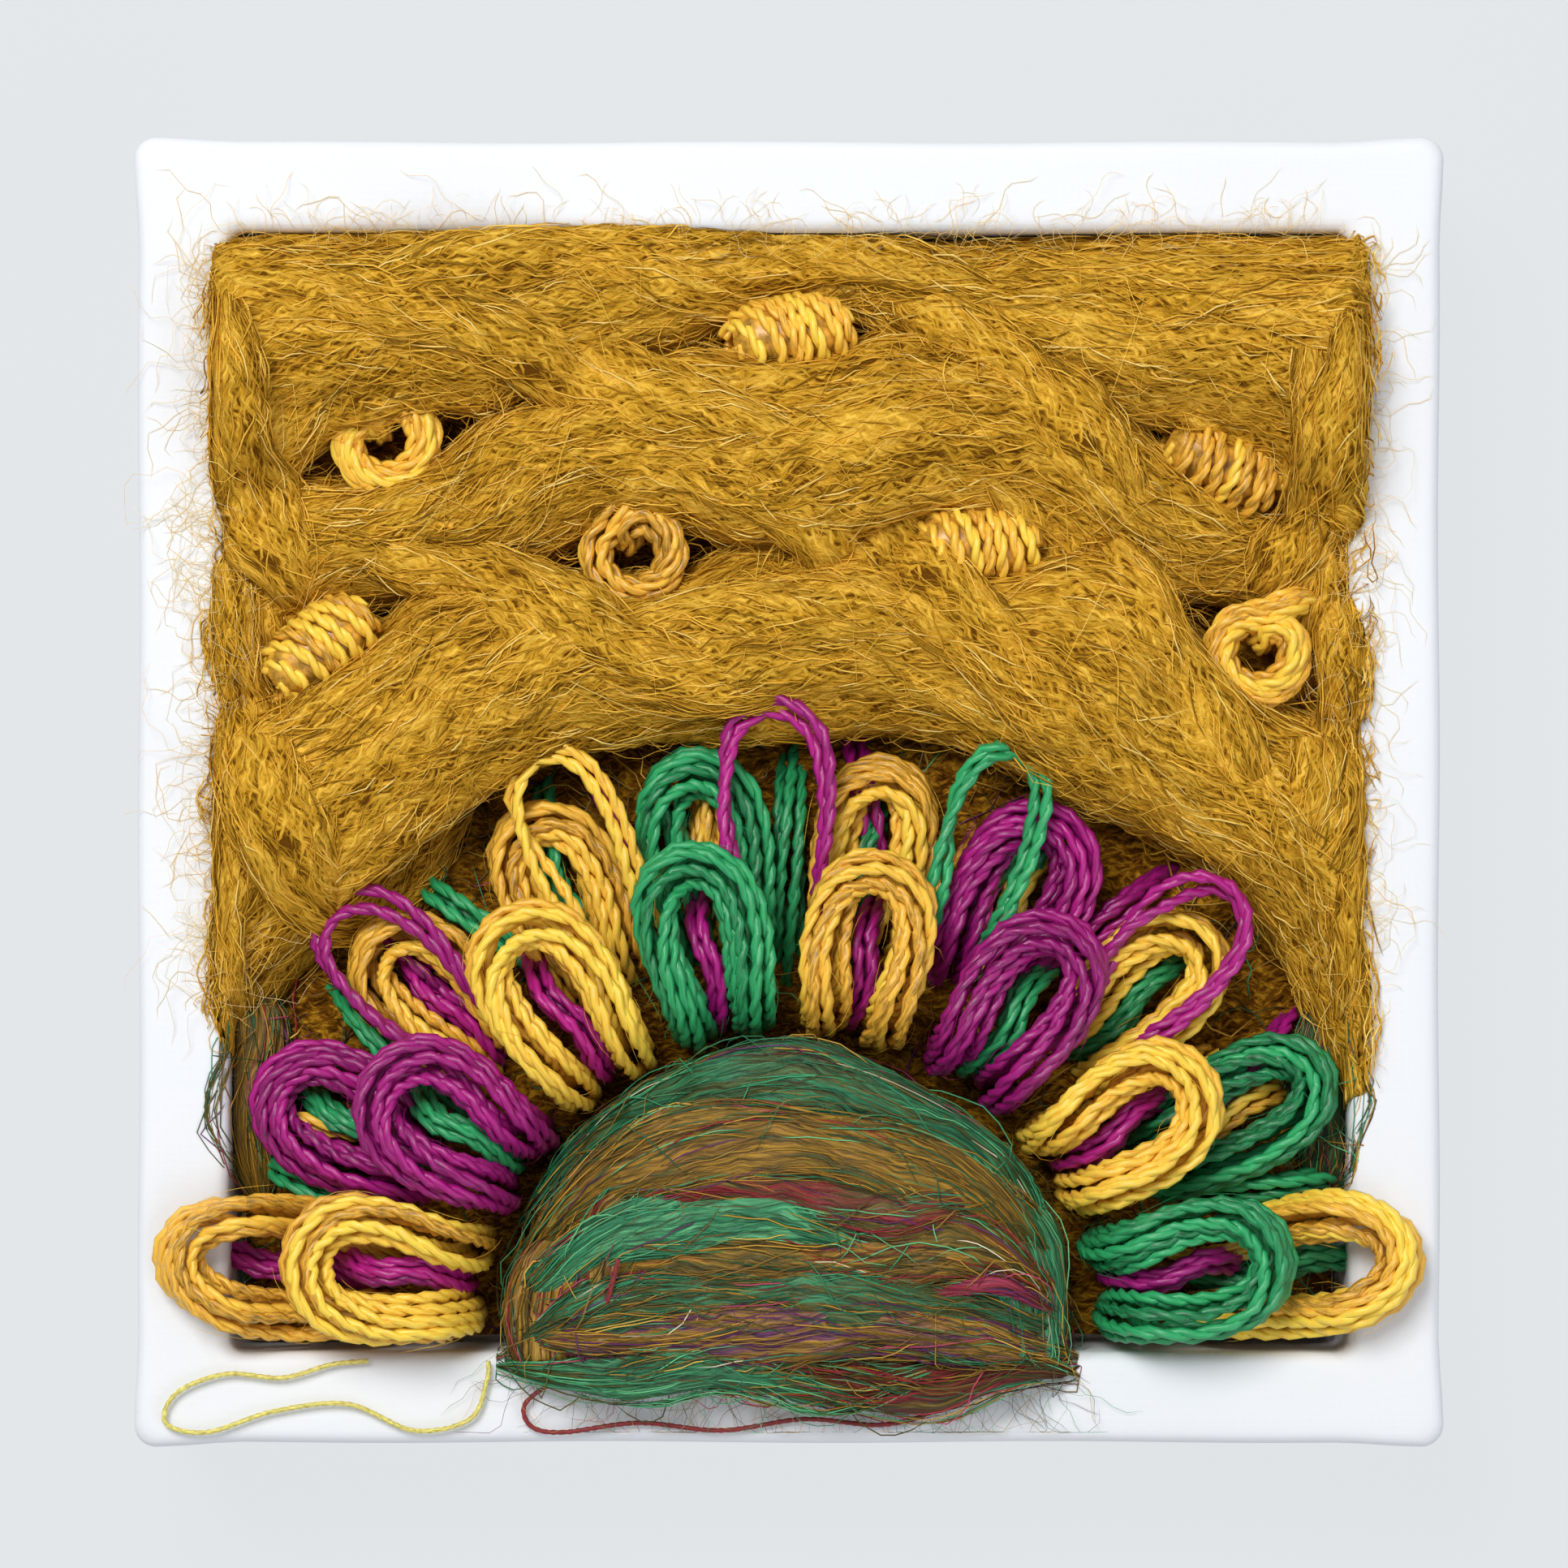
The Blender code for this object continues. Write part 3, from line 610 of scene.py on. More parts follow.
def bed_height(x, y):
    """The layer's top: raised by a flat-topped bell round the loops' arc and a bell over each valley,
    lower at the walls, with a slow ripple and two fast crossed ones."""
    radius = np.hypot(x, y - HEART_Y)
    fluff = FLUFF * np.exp(-(((radius - LOOPS_MIDDLE) / LOOPS_REACH) ** 4))
    for valley in VALLEYS:
        fluff = fluff + 0.8 * FLUFF * np.exp(-(((radius - valley) / (3.2 * MM)) ** 2))
    fluff = fluff * np.clip((WINDOW - np.maximum(np.abs(x), np.abs(y))) / (3 * MM), 0, 1)
    slow = 0.3 * MM * np.sin(x * 700 + 1) * np.cos(y * 620)
    fast = 0.26 * MM * np.sin(x * 2100 + y * 900) * np.cos(y * 1900 - x * 700)
    return bed_high.z - 0.6 * MM + fluff + slow + fast


bed_low, bed_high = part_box("under_wool")
bed_points, bed_faces = grid_slab(bed_low, bed_high, BED_CELLS, bed_height, level(bed_low.z))
bed_corners = np.concatenate([part.ravel() for part in bed_faces])
bed_uv = bed_points[bed_corners, :2] / MM
# The felt's colours, from well below the wool's gap shade up to its middle tone, are painted valley shade.
bed_shaded_felt = wool_finish("under_wool_shaded_felt", shaded(WOOL_GAP_SHADE, 0.4), shaded(WOOL_GAP_SHADE, 1.5), WOOL_MID, 1.3, 3.4)
add_piece(add_mesh("felted_bed", bed_points, bed_faces, bed_shaded_felt, bed_uv), "under_wool")

rng = np.random.default_rng(11)


def draw(count, low, high):
    """A random number for each of many fibres, as a column."""
    return rng.uniform(low, high, (count, 1))


def scatter(count, spread):
    """A random number round nought for each of many fibres, as a column."""
    return rng.normal(0, spread, (count, 1))


def bed_paths(count, rings):
    """Arcs that start anywhere on the layer, turn steadily by a random amount, and rise and sink once.
    Half of them start round the loops' arc and half anywhere."""
    spot = rng.uniform(-1, 1, (count, 1, 2)) * (WINDOW - 0.8 * MM)
    ring = draw(count, 17.5, 33.5) * MM
    turn = draw(count, 0.05, math.pi - 0.05)
    near_loops = np.stack([ring * np.cos(turn), HEART_Y + ring * np.sin(turn)], -1)
    spot = np.where(np.arange(count)[:, None, None] % 2 == 0, near_loops, spot)
    heading = draw(count, 0, math.tau)
    length = draw(count, 2.5, 6.5) * MM
    run = np.linspace(-0.5, 0.5, rings) * length
    angle = heading + scatter(count, 260) * run
    wave = 0.2 * MM * np.sin(run * math.tau / (2.0 * MM) + draw(count, 0, 6.3))
    x = run * np.cos(angle) - wave * np.sin(angle)
    y = run * np.sin(angle) + wave * np.cos(angle)
    flat = np.clip(spot + np.stack([x, y], -1), -(WINDOW - 0.4 * MM), WINDOW - 0.4 * MM)
    lift = draw(count, 0.0, 1.5) * MM * (1 - (2 * run / length) ** 2)
    return at_height(flat, bed_height(flat[..., 0], flat[..., 1]) + lift)


silk_fibre = dyed_finish("dyed_fibre")
tangle = bed_paths(BED_FIBRES, BED_RINGS)
x, y, _ = tangle[:, BED_RINGS // 2].T
near_heart = (np.hypot(x, y - HEART_Y) < DYED_REACH)[:, None]
tangle_dye = np.where(near_heart, draw_dyes(BED_FIBRES, UNDER_SHARES), draw_dyes(BED_FIBRES, WOOL_SHARES))
tangle_thick = rng.uniform(0.034, 0.07, BED_FIBRES)
add_fibres("bed_fibres", tangle, tangle_thick, taper, silk_fibre, dye=tangle_dye)


# Wool ropes
# Three thick ropes of mustard roving, laid in arcs round the flower and needled down along their
# edges. Each is a soft bundle of crimped fibres that presses against the bars and swells over them.
BORDER_RADII = np.array([33.4 * MM, *VALLEYS])
BORDER_WAVES = np.array([0.5, 1.1, 0.9]) * MM
BORDER_TURNS = np.array([5, 3, 4])
BORDER_PHASES = np.array([0.4, 1.3, 2.4])
ROPES = (
    {"inner": 0, "outer": 1, "first": 17, "last": 163, "wisps": 2400},
    {"inner": 1, "outer": 2, "first": 36, "last": 144, "wisps": 2050},
    {"inner": 2, "outer": None, "first": 46, "last": 134, "wisps": 1850},
)
GAP = 0.3 * MM
PRESSED = 0.5 * MM  # how far the soft skins of two ropes run into each other
SUNK = 0.62  # share of the knots' dents that the wool's soft skin shows
SEAT = 10.05 * MM
SIDE_LIMIT = WINDOW - GAP
TOP_LIMIT = WINDOW - GAP - HEART_Y
CORNER_REACH = 68 * MM
ROPE_UP = 0.90
ROPE_DOWN = 0.68
WALL_SINK = 2.4 * MM
SINK_POWER = 6
END_ROUND = 6.0 * MM  # over which a free end closes
KNOTS = (
    {"border": 1, "angle": 56, "up": 14.8, "kind": "ring"},
    {"border": 1, "angle": 77, "up": 14.9, "kind": "bullion"},
    {"border": 1, "angle": 101, "up": 14.8, "kind": "ring"},
    {"border": 1, "angle": 124, "up": 14.6, "kind": "bullion"},
    {"border": 2, "angle": 64, "up": 13.4, "kind": "bullion"},
    {"border": 2, "angle": 90, "up": 14.2, "kind": "bullion"},
    {"border": 2, "angle": 114, "up": 14.0, "kind": "ring"},
)
KNOT_DENT = {"ring": 2.6 * MM, "bullion": 2.0 * MM}
KNOT_SPAN = 4.6 * MM
ROPE_RINGS = 150
ROPE_SIDES = 40
LINE_STEPS = 721
TABLE_STEPS = 320
WISPS = dict(rings=5, length=(1.6, 4.4), heading=0.22, curl=130, lift=(0.02, 0.30), crimp=0.09)
CURLS = dict(count=270, rings=7, length=(2.5, 6.5), heading=0.7, curl=420, lift=(0.25, 0.9), crimp=0.16)
SINGLES = dict(count=26, rings=7, length=(7.0, 13.0), heading=0.3, curl=60, lift=(0.3, 0.6), crimp=0.04)
CROSS_WISPS = dict(WISPS, heading=0.24, lift=(0.02, 0.35))
CROSS_SHARE = 5.0  # wisps for each square millimetre of a crossing lock
CREASE_WISPS = 750
CREASE_RINGS = 6
CRIMP = 1.9 * MM
SWELL = 1.3 * MM  # how far the ropes spread over the bars
LOCK_STEPS = 160
LOCK_RINGS = 60
LOCK_SIDES = 14
LOCK_UP = 0.42
LOCK_DOWN = 0.5
LOCKS = (  # half width, lift and stops, in millimetres
    (2.3, 0.0, ((-25, 13.5), (-17, 11.5), (-8.5, 7), (1, 5.2))),
    (2.6, 0.0, ((-7, 18.5), (2, 14.4), (11, 7.5), (19, 0.5))),
    (2.0, 0.0, ((9.5, 18), (17.2, 11), (23, 2.5), (26, -4))),
    (2.5, 0.0, ((3, 27.6), (12, 22.4), (19.5, 13.5))),
    (2.2, 0.0, ((-28.5, 27.5), (-17, 25), (-8, 21), (3, 18))),
    (2.4, 0.0, ((-28.8, 13), (-28, 3), (-24, -6), (-17, -1))),
    (2.1, 0.0, ((27.5, 26), (28.5, 14), (27.8, 3), (25.5, -8))),
    (1.7, 0.0, ((-20, 2), (-12, 7.4), (-3, 9.4), (6, 8.2))),
    (2.3, 0.5, ((-30.4, 28), (-30.0, 22), (-28.4, 15), (-24.5, 8.5))),
    (2.1, 0.5, ((-30.8, 16), (-30.4, 9), (-29.0, 1), (-26.5, -6))),
    (1.8, 0.6, ((-28.0, 3), (-30.4, -3), (-30.6, -9), (-29.4, -13))),
    (2.2, 0.5, ((30.4, 27), (29.6, 20), (27.6, 14), (24.0, 9))),
    (2.0, 0.5, ((30.8, 15), (30.4, 8), (29.4, 0), (27.4, -7))),
    (1.7, 0.6, ((28.0, 4), (30.4, -2), (30.6, -8), (29.6, -13))),
    (1.9, 1.3, ((-25, 26.2), (-16, 28.1), (-6, 28.9), (4, 28.5), (12, 26.4))),
    (1.6, 0.0, ((-22, 27), (-12, 27.8), (-3, 26.6), (6, 27.6))),
)


def border_radius(border, angle):
    """A border is an arc round the heart whose radius waves a little. border may be many numbers."""
    wave = np.sin(BORDER_TURNS[border] * 2 * angle + BORDER_PHASES[border])
    return BORDER_RADII[border] + BORDER_WAVES[border] * wave


def dent(border, angle):
    """How far the knots on a border push the wool aside: a flat-topped bell for each knot."""
    pushed = 0
    for knot in KNOTS:
        if knot["border"] == border:
            away = (angle - math.radians(knot["angle"])) * BORDER_RADII[border] / KNOT_SPAN
            pushed = pushed + KNOT_DENT[knot["kind"]] * np.exp(-(away**4))
    return pushed


def rope_sides(row, angle):
    """The radii between which a rope lies: its two borders, or the top wall for the last one."""
    near = border_radius(row["inner"], angle) + SUNK * dent(row["inner"], angle) - PRESSED / 2
    if row["outer"] is None:
        return near, np.minimum(TOP_LIMIT / np.maximum(np.sin(angle), 0.1), CORNER_REACH)
    return near, border_radius(row["outer"], angle) - SUNK * dent(row["outer"], angle) + PRESSED / 2


def rope_line(row):
    """The middle line, half width and outward direction of a rope, from one side wall to the other."""
    angle = np.radians(np.linspace(row["first"], row["last"], LINE_STEPS))
    near, far = rope_sides(row, angle)
    outward = np.stack([np.cos(angle), np.sin(angle)], -1)
    line = outward * ((near + far) / 2)[:, None] + (0, HEART_Y)
    kept = near * np.abs(np.cos(angle)) < WINDOW + 0.3 * MM
    return line[kept], ((far - near) / 2)[kept], outward[kept]


def lay_rope(line, half, outward, up, down, lumps, closed_ends):
    """Tables that on_rope reads, by the share of the rope's length: middle line, direction to its
    outer side, half width and height. The rope lies lower where it meets a side wall."""
    run = path_run(line)
    even = np.linspace(0, run[-1], TABLE_STEPS)
    half = np.interp(even, run, half)
    line = read_table(even, run, line)
    closing = np.ones_like(even)
    if closed_ends:
        from_end = np.minimum(even, even[-1] - even)
        closing = np.sqrt(1 - np.clip(1 - from_end / END_ROUND, 0, 0.97) ** 2)
    sink = WALL_SINK * np.minimum(np.abs(line[:, 0]) / SIDE_LIMIT, 1) ** SINK_POWER
    return {
        "share": even / even[-1],
        "length": even[-1],
        "line": line,
        "side": read_table(even, run, outward),
        "half": half * closing,
        "rise": SEAT + down * half - sink,
        "up": up,
        "down": down,
        "lumps": lumps,
    }


def on_rope(rope, along, around, lift):
    """A point on a rope: from the middle line at that share of its length, out by the half width at
    the angle around (0 at the outer side, a quarter turn at the crest), lifted by lift. Slow waves
    along and round it make the lumps, and faster ones round it the combed locks."""
    inside = np.clip(along, 0, 1)
    flat, side = [read_table(inside, rope["share"], rope[column]) for column in ("line", "side")]
    half, rise = [np.interp(inside, rope["share"], rope[column]) for column in ("half", "rise")]
    phase = rope["lumps"]
    lump = 0.05 * np.cos(2 * around + 9 * along + phase) + 0.05 * np.cos(3 * around - 14 * along + 2 * phase)
    lump += 0.03 * np.cos(7 * around + 11 * along + 3 * phase) + 0.03 * np.sin(31 * along + around + phase)
    locks = 0.022 * np.cos(13 * around + 5 * np.sin(8 * along + phase))
    lump += locks + 0.014 * np.cos(23 * around - 17 * along)
    reach = half * (1 + lump) + lift
    squash = np.where(np.sin(around) > 0, rope["up"], rope["down"])
    flat = flat + side * (np.cos(around) * reach)[..., None]
    return at_height(flat, rise + np.sin(around) * reach * squash)


def wool_top(x, y):
    """Height of the ropes over any place: each rope's section is half an ellipse over its width."""
    radius = np.hypot(x, y - HEART_Y)
    angle = np.arctan2(y - HEART_Y, x)
    top = np.full(radius.shape, SEAT)
    for row in ROPES:
        near, far = rope_sides(row, angle)
        half = (far - near) / 2
        share = np.clip((radius - near) / half - 1, -1, 1)
        sink = WALL_SINK * np.minimum(np.abs((near + half) * np.cos(angle)) / SIDE_LIMIT, 1) ** SINK_POWER
        height = SEAT + half * (ROPE_DOWN + ROPE_UP * np.sqrt(1 - share**2)) - sink
        top = np.where(np.abs(share) < 1, np.maximum(top, height), top)
    return top


def level_top(top, x, y):
    """The mean of a height over a small cross of places, which rounds off its creases."""
    steps = ((0, 0), (1, 0), (-1, 0), (0, 1), (0, -1))
    return sum(top(x + 1.1 * MM * i, y + 1.1 * MM * j) for i, j in steps) / len(steps)


def lay_lock(stops, half, top, lumps, lift=0.0, fullness=3.4):
    """A flat lock laid over what is there: a rope table whose height is that of the wool beneath, and
    whose width swells and thins out along it, later for more fullness. Its ends sink in."""
    path = smooth_path([(x * MM, y * MM, 0) for x, y in stops], LOCK_STEPS)
    line = path[:, :2]
    ahead = unit(np.gradient(line, axis=0))
    side = np.stack([ahead[:, 1], -ahead[:, 0]], -1)
    share = np.linspace(-1, 1, len(line))
    wide = half * (1.03 - np.abs(share) ** fullness) * (1 + 0.12 * np.sin(share * 8 + lumps))
    lock = lay_rope(line, wide, side, LOCK_UP, LOCK_DOWN, lumps, False)
    ends = np.abs(np.linspace(-1, 1, len(lock["share"]))) ** 4
    level = level_top(top, lock["line"][:, 0], lock["line"][:, 1])
    lock["rise"] = level + lift * (1 - ends) - 0.1 * half - 0.45 * half * ends
    return lock


def rope_body(name, rope, rings, sides, material, swell):
    """A closed skin: rings all along the rope, each end drawn to a point. The map runs in millimetres
    along and across the fibres."""
    round_it = np.arange(sides + 1) * math.tau / sides
    along, turn = np.meshgrid(np.linspace(0, 1, rings), round_it, indexing="ij")
    points = flow_over(on_rope(rope, along[:, :-1], -turn[:, :-1], 0 * along[:, :-1]), swell)
    ends = points[[0, -1]].mean(1)
    flat = np.stack([along * rope["length"] / MM, -turn * rope["half"].mean() / MM], -1)
    quads, _ = ring_faces(1, rings, sides)
    here = np.arange(sides)
    after = (here + 1) % sides
    base = rings * sides
    first = np.stack([after, here, np.full(sides, base)], -1)
    last = np.stack([here + base - sides, after + base - sides, np.full(sides, base + 1)], -1)
    tips = [flat[0, [after, here, here]], flat[-1, [here, after, here]]]
    tip_uv = np.concatenate([part.transpose(1, 0, 2).reshape(-1, 2) for part in tips])
    uv = np.concatenate([corner_map(flat), tip_uv])
    faces = [quads, np.concatenate([first, last])]
    return add_mesh(name, np.concatenate([points.reshape(-1, 3), ends]), faces, material, uv)


def fibres_on(rope, count, rings, length, heading, curl, lift, crimp):
    """Fibres on a rope. Each runs along it through a random spot, turned off it by its heading and
    curving by its curl, waves sideways and up and down with its crimp, and sinks in at both ends. A
    slow wave in the heading makes neighbours run alike."""
    middle = draw(count, 0, 1)
    around = draw(count, -0.5, math.pi + 0.5)
    size = draw(count, *length) * MM
    run = np.linspace(-0.5, 0.5, rings) * size
    sway = np.sin(middle * rope["length"] / (2.2 * MM) + 3 * np.sin(around * 2.2 + rope["lumps"]))
    off = scatter(count, heading) + heading * sway
    bend = scatter(count, curl)
    wave = run * math.tau / (CRIMP * draw(count, 0.75, 1.4)) + draw(count, 0, 6.3)
    amount = crimp * draw(count, 0.4, 1.3) * MM
    aside = run * np.sin(off) + bend * run**2 / 2 + amount * np.sin(wave)
    along = middle + run * np.cos(off) / rope["length"]
    half = np.maximum(np.interp(middle, rope["share"], rope["half"]), 1.6 * MM)
    top = draw(count, *lift) * MM
    rise = top * (1 - (2 * run / size) ** 2) + amount * 0.5 * np.cos(wave) - 0.05 * MM
    return on_rope(rope, along, around + aside / half, rise)


wool_rope = wool_finish("mustard_roving", WOOL_GAP_SHADE, WOOL_MID, WOOL_LIGHT)
wool_stops = [(0.0, shaded(WOOL_MID, 0.4)), (0.35, WOOL_MID), (0.85, WOOL_LIGHT), (1.0, WOOL_PALE)]
wool_fibre = fibre_finish("mustard_fibre", wool_stops)
for number, row in enumerate(ROPES, 1):
    rope = lay_rope(*rope_line(row), ROPE_UP, ROPE_DOWN, 1.7 * number, False)
    body = rope_body(f"roving_{number}", rope, ROPE_RINGS, ROPE_SIDES, wool_rope, SWELL)
    add_piece(body, f"wool_rope_{number}")
    lying = fibres_on(rope, row["wisps"], **WISPS)
    paths = flow_over(lying, SWELL + draw(len(lying), 0, 1.1) * MM)
    thick = rng.uniform(0.034, 0.066, len(paths))
    tones = np.clip(rng.normal(0.52, 0.30, len(paths)), 0, 0.97)
    add_fibres(f"roving_wisps_{number}", paths, thick, spindle, wool_fibre, tones)
    curls = fibres_on(rope, **CURLS)
    singles = fibres_on(rope, **SINGLES)
    paths = np.concatenate([curls, singles])
    paths = flow_over(paths, SWELL + draw(len(paths), 0.5, 2.0) * MM)
    thick = rng.uniform(0.016, 0.030, len(paths))
    tones = np.concatenate([rng.uniform(0.45, 0.95, len(curls)), rng.uniform(0.9, 1.0, len(singles))])
    add_fibres(f"roving_strays_{number}", paths, thick, taper, wool_fibre, tones)

for number, (half, lift, stops) in enumerate(LOCKS, 1):
    lock = lay_lock(stops, half * MM, wool_top, 1.3 * number, lift * MM)
    add_piece(rope_body(f"cross_lock_{number}", lock, LOCK_RINGS, LOCK_SIDES, wool_rope, SWELL))
    paths = fibres_on(lock, int(CROSS_SHARE * half * lock["length"] / MM), **CROSS_WISPS)
    paths = flow_over(paths, SWELL + 0.4 * MM)
    thick = rng.uniform(0.036, 0.068, len(paths))
    tones = np.clip(rng.normal(0.52, 0.28, len(paths)), 0, 0.95)
    add_fibres(f"cross_wisps_{number}", paths, thick, spindle, wool_fibre, tones)


def heading_off(radius, turn, heading, run):
    """Places along wisps that leave an arc round the heart at their own heading."""
    x = radius * np.cos(turn) + run * np.cos(heading)
    return x, HEART_Y + radius * np.sin(turn) + run * np.sin(heading)


def crease_paths(count, rings):
    """Wisps that cross from rope to rope: each lies near one of the two creases at any angle, on the
    levelled top of the wool, and bows up."""
    border = rng.integers(1, 3, (count, 1))
    angle = draw(count, math.radians(32), math.radians(148))
    radius = border_radius(border, angle) + scatter(count, 1.1) * MM
    size = draw(count, 1.5, 4.2) * MM
    run = np.linspace(-0.5, 0.5, rings) * size
    heading = draw(count, 0, math.pi) + scatter(count, 350) * run
    x, y = heading_off(radius, angle, heading, run)
    bow = draw(count, 0.0, 0.5) * MM * (1 - (2 * run / size) ** 2)
    return np.stack([x, y, level_top(wool_top, x, y) + bow - 0.1 * MM], -1)


creases = flow_over(crease_paths(CREASE_WISPS, CREASE_RINGS), 1.8 * MM)
crease_thick = rng.uniform(0.026, 0.058, CREASE_WISPS)
crease_tones = rng.uniform(0.1, 0.85, CREASE_WISPS)
add_fibres("crease_wisps", creases, crease_thick, spindle, wool_fibre, crease_tones)


# Mixed fibre
# The flower's heart: combed locks of green viscose, brown and mustard wool and silk waste in red,
# pink and violet. Two locks lie in an arc round a dome, and both spill over the lower bar.
MIXED_INNER = 6.5 * MM
MIXED_OUTER = 15.2 * MM
MIXED_UP = 1.12
MIXED_DOWN = 0.85
MIXED_LOCKS = ((-24, 101), (79, 204))
MIXED_THIN = 0.78
MIXED_FULL = 0.5
HEART_RADIUS = 6.1 * MM
HEART_HEIGHT = 7.4 * MM
HEART_WIDER = 1.04
SPILL = 3.3 * MM  # how far the mixed fibre spreads over the lower bar
MIXED_STEPS = 121
MIXED_RINGS = 60
MIXED_SIDES = 36
DOME_RINGS = 28
DOME_SIDES = 48
DOME_FIBRES = 60
SPILL_FIBRES = 300
HEART_RINGS = 9
SKIM = 0.07 * MM  # from the canvas to the lowest fibres over it
FREE = 20 * MM  # a spread so wide that a lock's skin only keeps clear of the bars
COMBED = dict(count=230, rings=9, length=(4, 10), heading=0.1, curl=60, lift=(0.02, 0.35), crimp=0.06)
STRAYS = dict(count=60, rings=9, length=(4, 9), heading=0.5, curl=220, lift=(0.3, 1.2), crimp=0.2)
SILK = dict(rings=7, length=(3, 9), heading=0.11, curl=60, lift=(0.0, 0.4), crimp=0.06)
SILK_LOOSE = dict(count=18, rings=7, length=(3, 7), heading=0.6, curl=350, lift=(0.4, 1.1), crimp=0.15)
SILK_SHARE = 4.3  # fibres for each square millimetre of a silk lock
SILK_LIFT = 0.5 * MM
SILK_FULLNESS = 2.2
SILK_LOCK_RINGS = 50
SILK_LOCKS = (  # half width in millimetres, dyes, and stops in millimetres
    (2.2, (0, 1, 3, 1), ((-14.5, -23.5), (-7.5, -17.2), (1.5, -16.0), (10, -19.6), (14.8, -26))),
    (2.2, (3, 5, 4, 0), ((-15.3, -26.5), (-9, -20.6), (0, -18.6), (9, -21.2), (15.2, -27))),
    (1.9, (4, 8, 3, 5), ((-12, -22.8), (-4, -20.4), (4, -21.6), (11, -21.8), (15.2, -26))),
    (2.0, (1, 2, 1, 0), ((-15.5, -28.5), (-9.5, -23.6), (-1.5, -22.0), (6, -24.2), (13, -25.4))),
    (2.0, (4, 3, 5, 8), ((-14, -26.6), (-6, -24.8), (2, -25.2), (9, -24.0), (15.4, -28))),
    (2.1, (0, 3, 1, 4), ((-15.6, -30.2), (-9, -27.0), (0, -26.4), (8, -27.2), (15, -29))),
    (2.0, (4, 5, 10, 3), ((-15.4, -28.8), (-7, -28.4), (2, -28.0), (9, -28.6), (15.4, -30.2))),
    (1.8, (1, 2, 1, 3), ((-15.6, -30.6), (-10, -30.9), (-4, -30.0), (3, -31.2), (9, -30.2))),
    (1.5, (5, 3, 8, 4), ((-6, -31.6), (0, -30.6), (7, -31.8), (12, -30.6), (15.5, -31.2))),
    (0.5, (11, 6, 11, 2), ((-13, -27.0), (-7.5, -28.2), (-2, -26.8), (2.5, -24.2))),
    (0.5, (8, 9, 8, 10), ((1, -25.0), (6, -26.6), (11, -26.0), (14.6, -28))),
)
CORNER_LOCKS = (  # the same for those that lie level in the lower corners, beside the loops' ends
    (1.7, (3, 5, 4, 0), ((-29.0, -9.5), (-28.6, -13), (-29.0, -17), (-28.4, -22.5))),
    (1.7, (1, 3, 0, 5), ((29.0, -10.5), (28.6, -14), (29.0, -18), (28.4, -22.5))),
)
CORNER_TOP = 11.9 * MM
GREEN_LOOKS = (0, 1, 2, 1, 3, 5)
BROWN_LOOKS = (7, 4, 5, 6, 8, 3)
HEART_LOOKS = (7, 5, 6, 4, 9, 1)
GREEN_SHARES = np.array([5, 7, 5, 2, 1, 1.2, 0.8, 0.8, 0.4, 0.3, 0.3, 0.4])
BROWN_SHARES = np.array([1, 1, 0.5, 3, 4, 5, 4, 1.6, 1.6, 1.2, 1.0, 0.6])


def mixed_finish(name, dyes):
    """Combed silk and wool: narrow wavy streaks of several dyes side by side along the fibres, with
    painted shade and light along a finer grain.
    """
    material, tree, shader = finish(name)
    flow = wavy_flow(tree, 1.5, 0.28)
    streak = crimped(tree, flow, 0.0, 0.09, 2.6)
    stops = [(0.32 + 0.36 * index / (len(dyes) - 1), MIXED_DYES[dye]) for index, dye in enumerate(dyes)]
    fine = crimped(tree, flow, 0.05, 0.35, 7.0)
    # The fine grain darkens the dyes to about a fifth as painted shade and lightens them as painted light.
    shade = ramp(tree, fine, [(0.34, (0.22, 0.22, 0.22)), (0.64, (1.3, 1.3, 1.3))])
    dyed = node(tree, "VectorMath", {"operation": "MULTIPLY"}, _0=ramp(tree, streak, stops), _1=shade)
    coat(tree, shader, dyed.outputs[0], 0.42, 0.4)
    emboss(tree, shader, fine, 1.0, 0.3 * MM)
    return material


def lock_line(first, last):
    """An arc round the heart, whose half width swells from its ends as a sine to a power."""
    angle = np.radians(np.linspace(first, last, MIXED_STEPS))
    middle = (MIXED_OUTER + MIXED_INNER) / 2
    half = (MIXED_OUTER - MIXED_INNER) / 2
    swell = np.sin(np.linspace(0, math.pi, MIXED_STEPS)) ** MIXED_FULL
    outward = np.stack([np.cos(angle), np.sin(angle)], -1)
    return outward * middle + (0, HEART_Y), half * (MIXED_THIN + (1 - MIXED_THIN) * swell), outward


lock_looks = (("green_lock", GREEN_LOOKS, GREEN_SHARES), ("brown_lock", BROWN_LOOKS, BROWN_SHARES))
for number, ((first, last), (look, dyes, shares)) in enumerate(zip(MIXED_LOCKS, lock_looks), 1):
    lock = lay_rope(*lock_line(first, last), MIXED_UP, MIXED_DOWN, 2.3 * number, True)
    body = rope_body(look, lock, MIXED_RINGS, MIXED_SIDES, mixed_finish(look + "_mix", dyes), SPILL)
    add_piece(body, f"mixed_lock_{number}")
    paths = np.concatenate([fibres_on(lock, **COMBED), fibres_on(lock, **STRAYS)])
    paths = flow_over(paths, SPILL + 0.8 * MM)
    thick = rng.uniform(0.022, 0.046, len(paths))
    dye = draw_dyes(len(paths), shares)
    add_fibres(look + "_fibres", paths, thick, taper, silk_fibre, dye=dye)


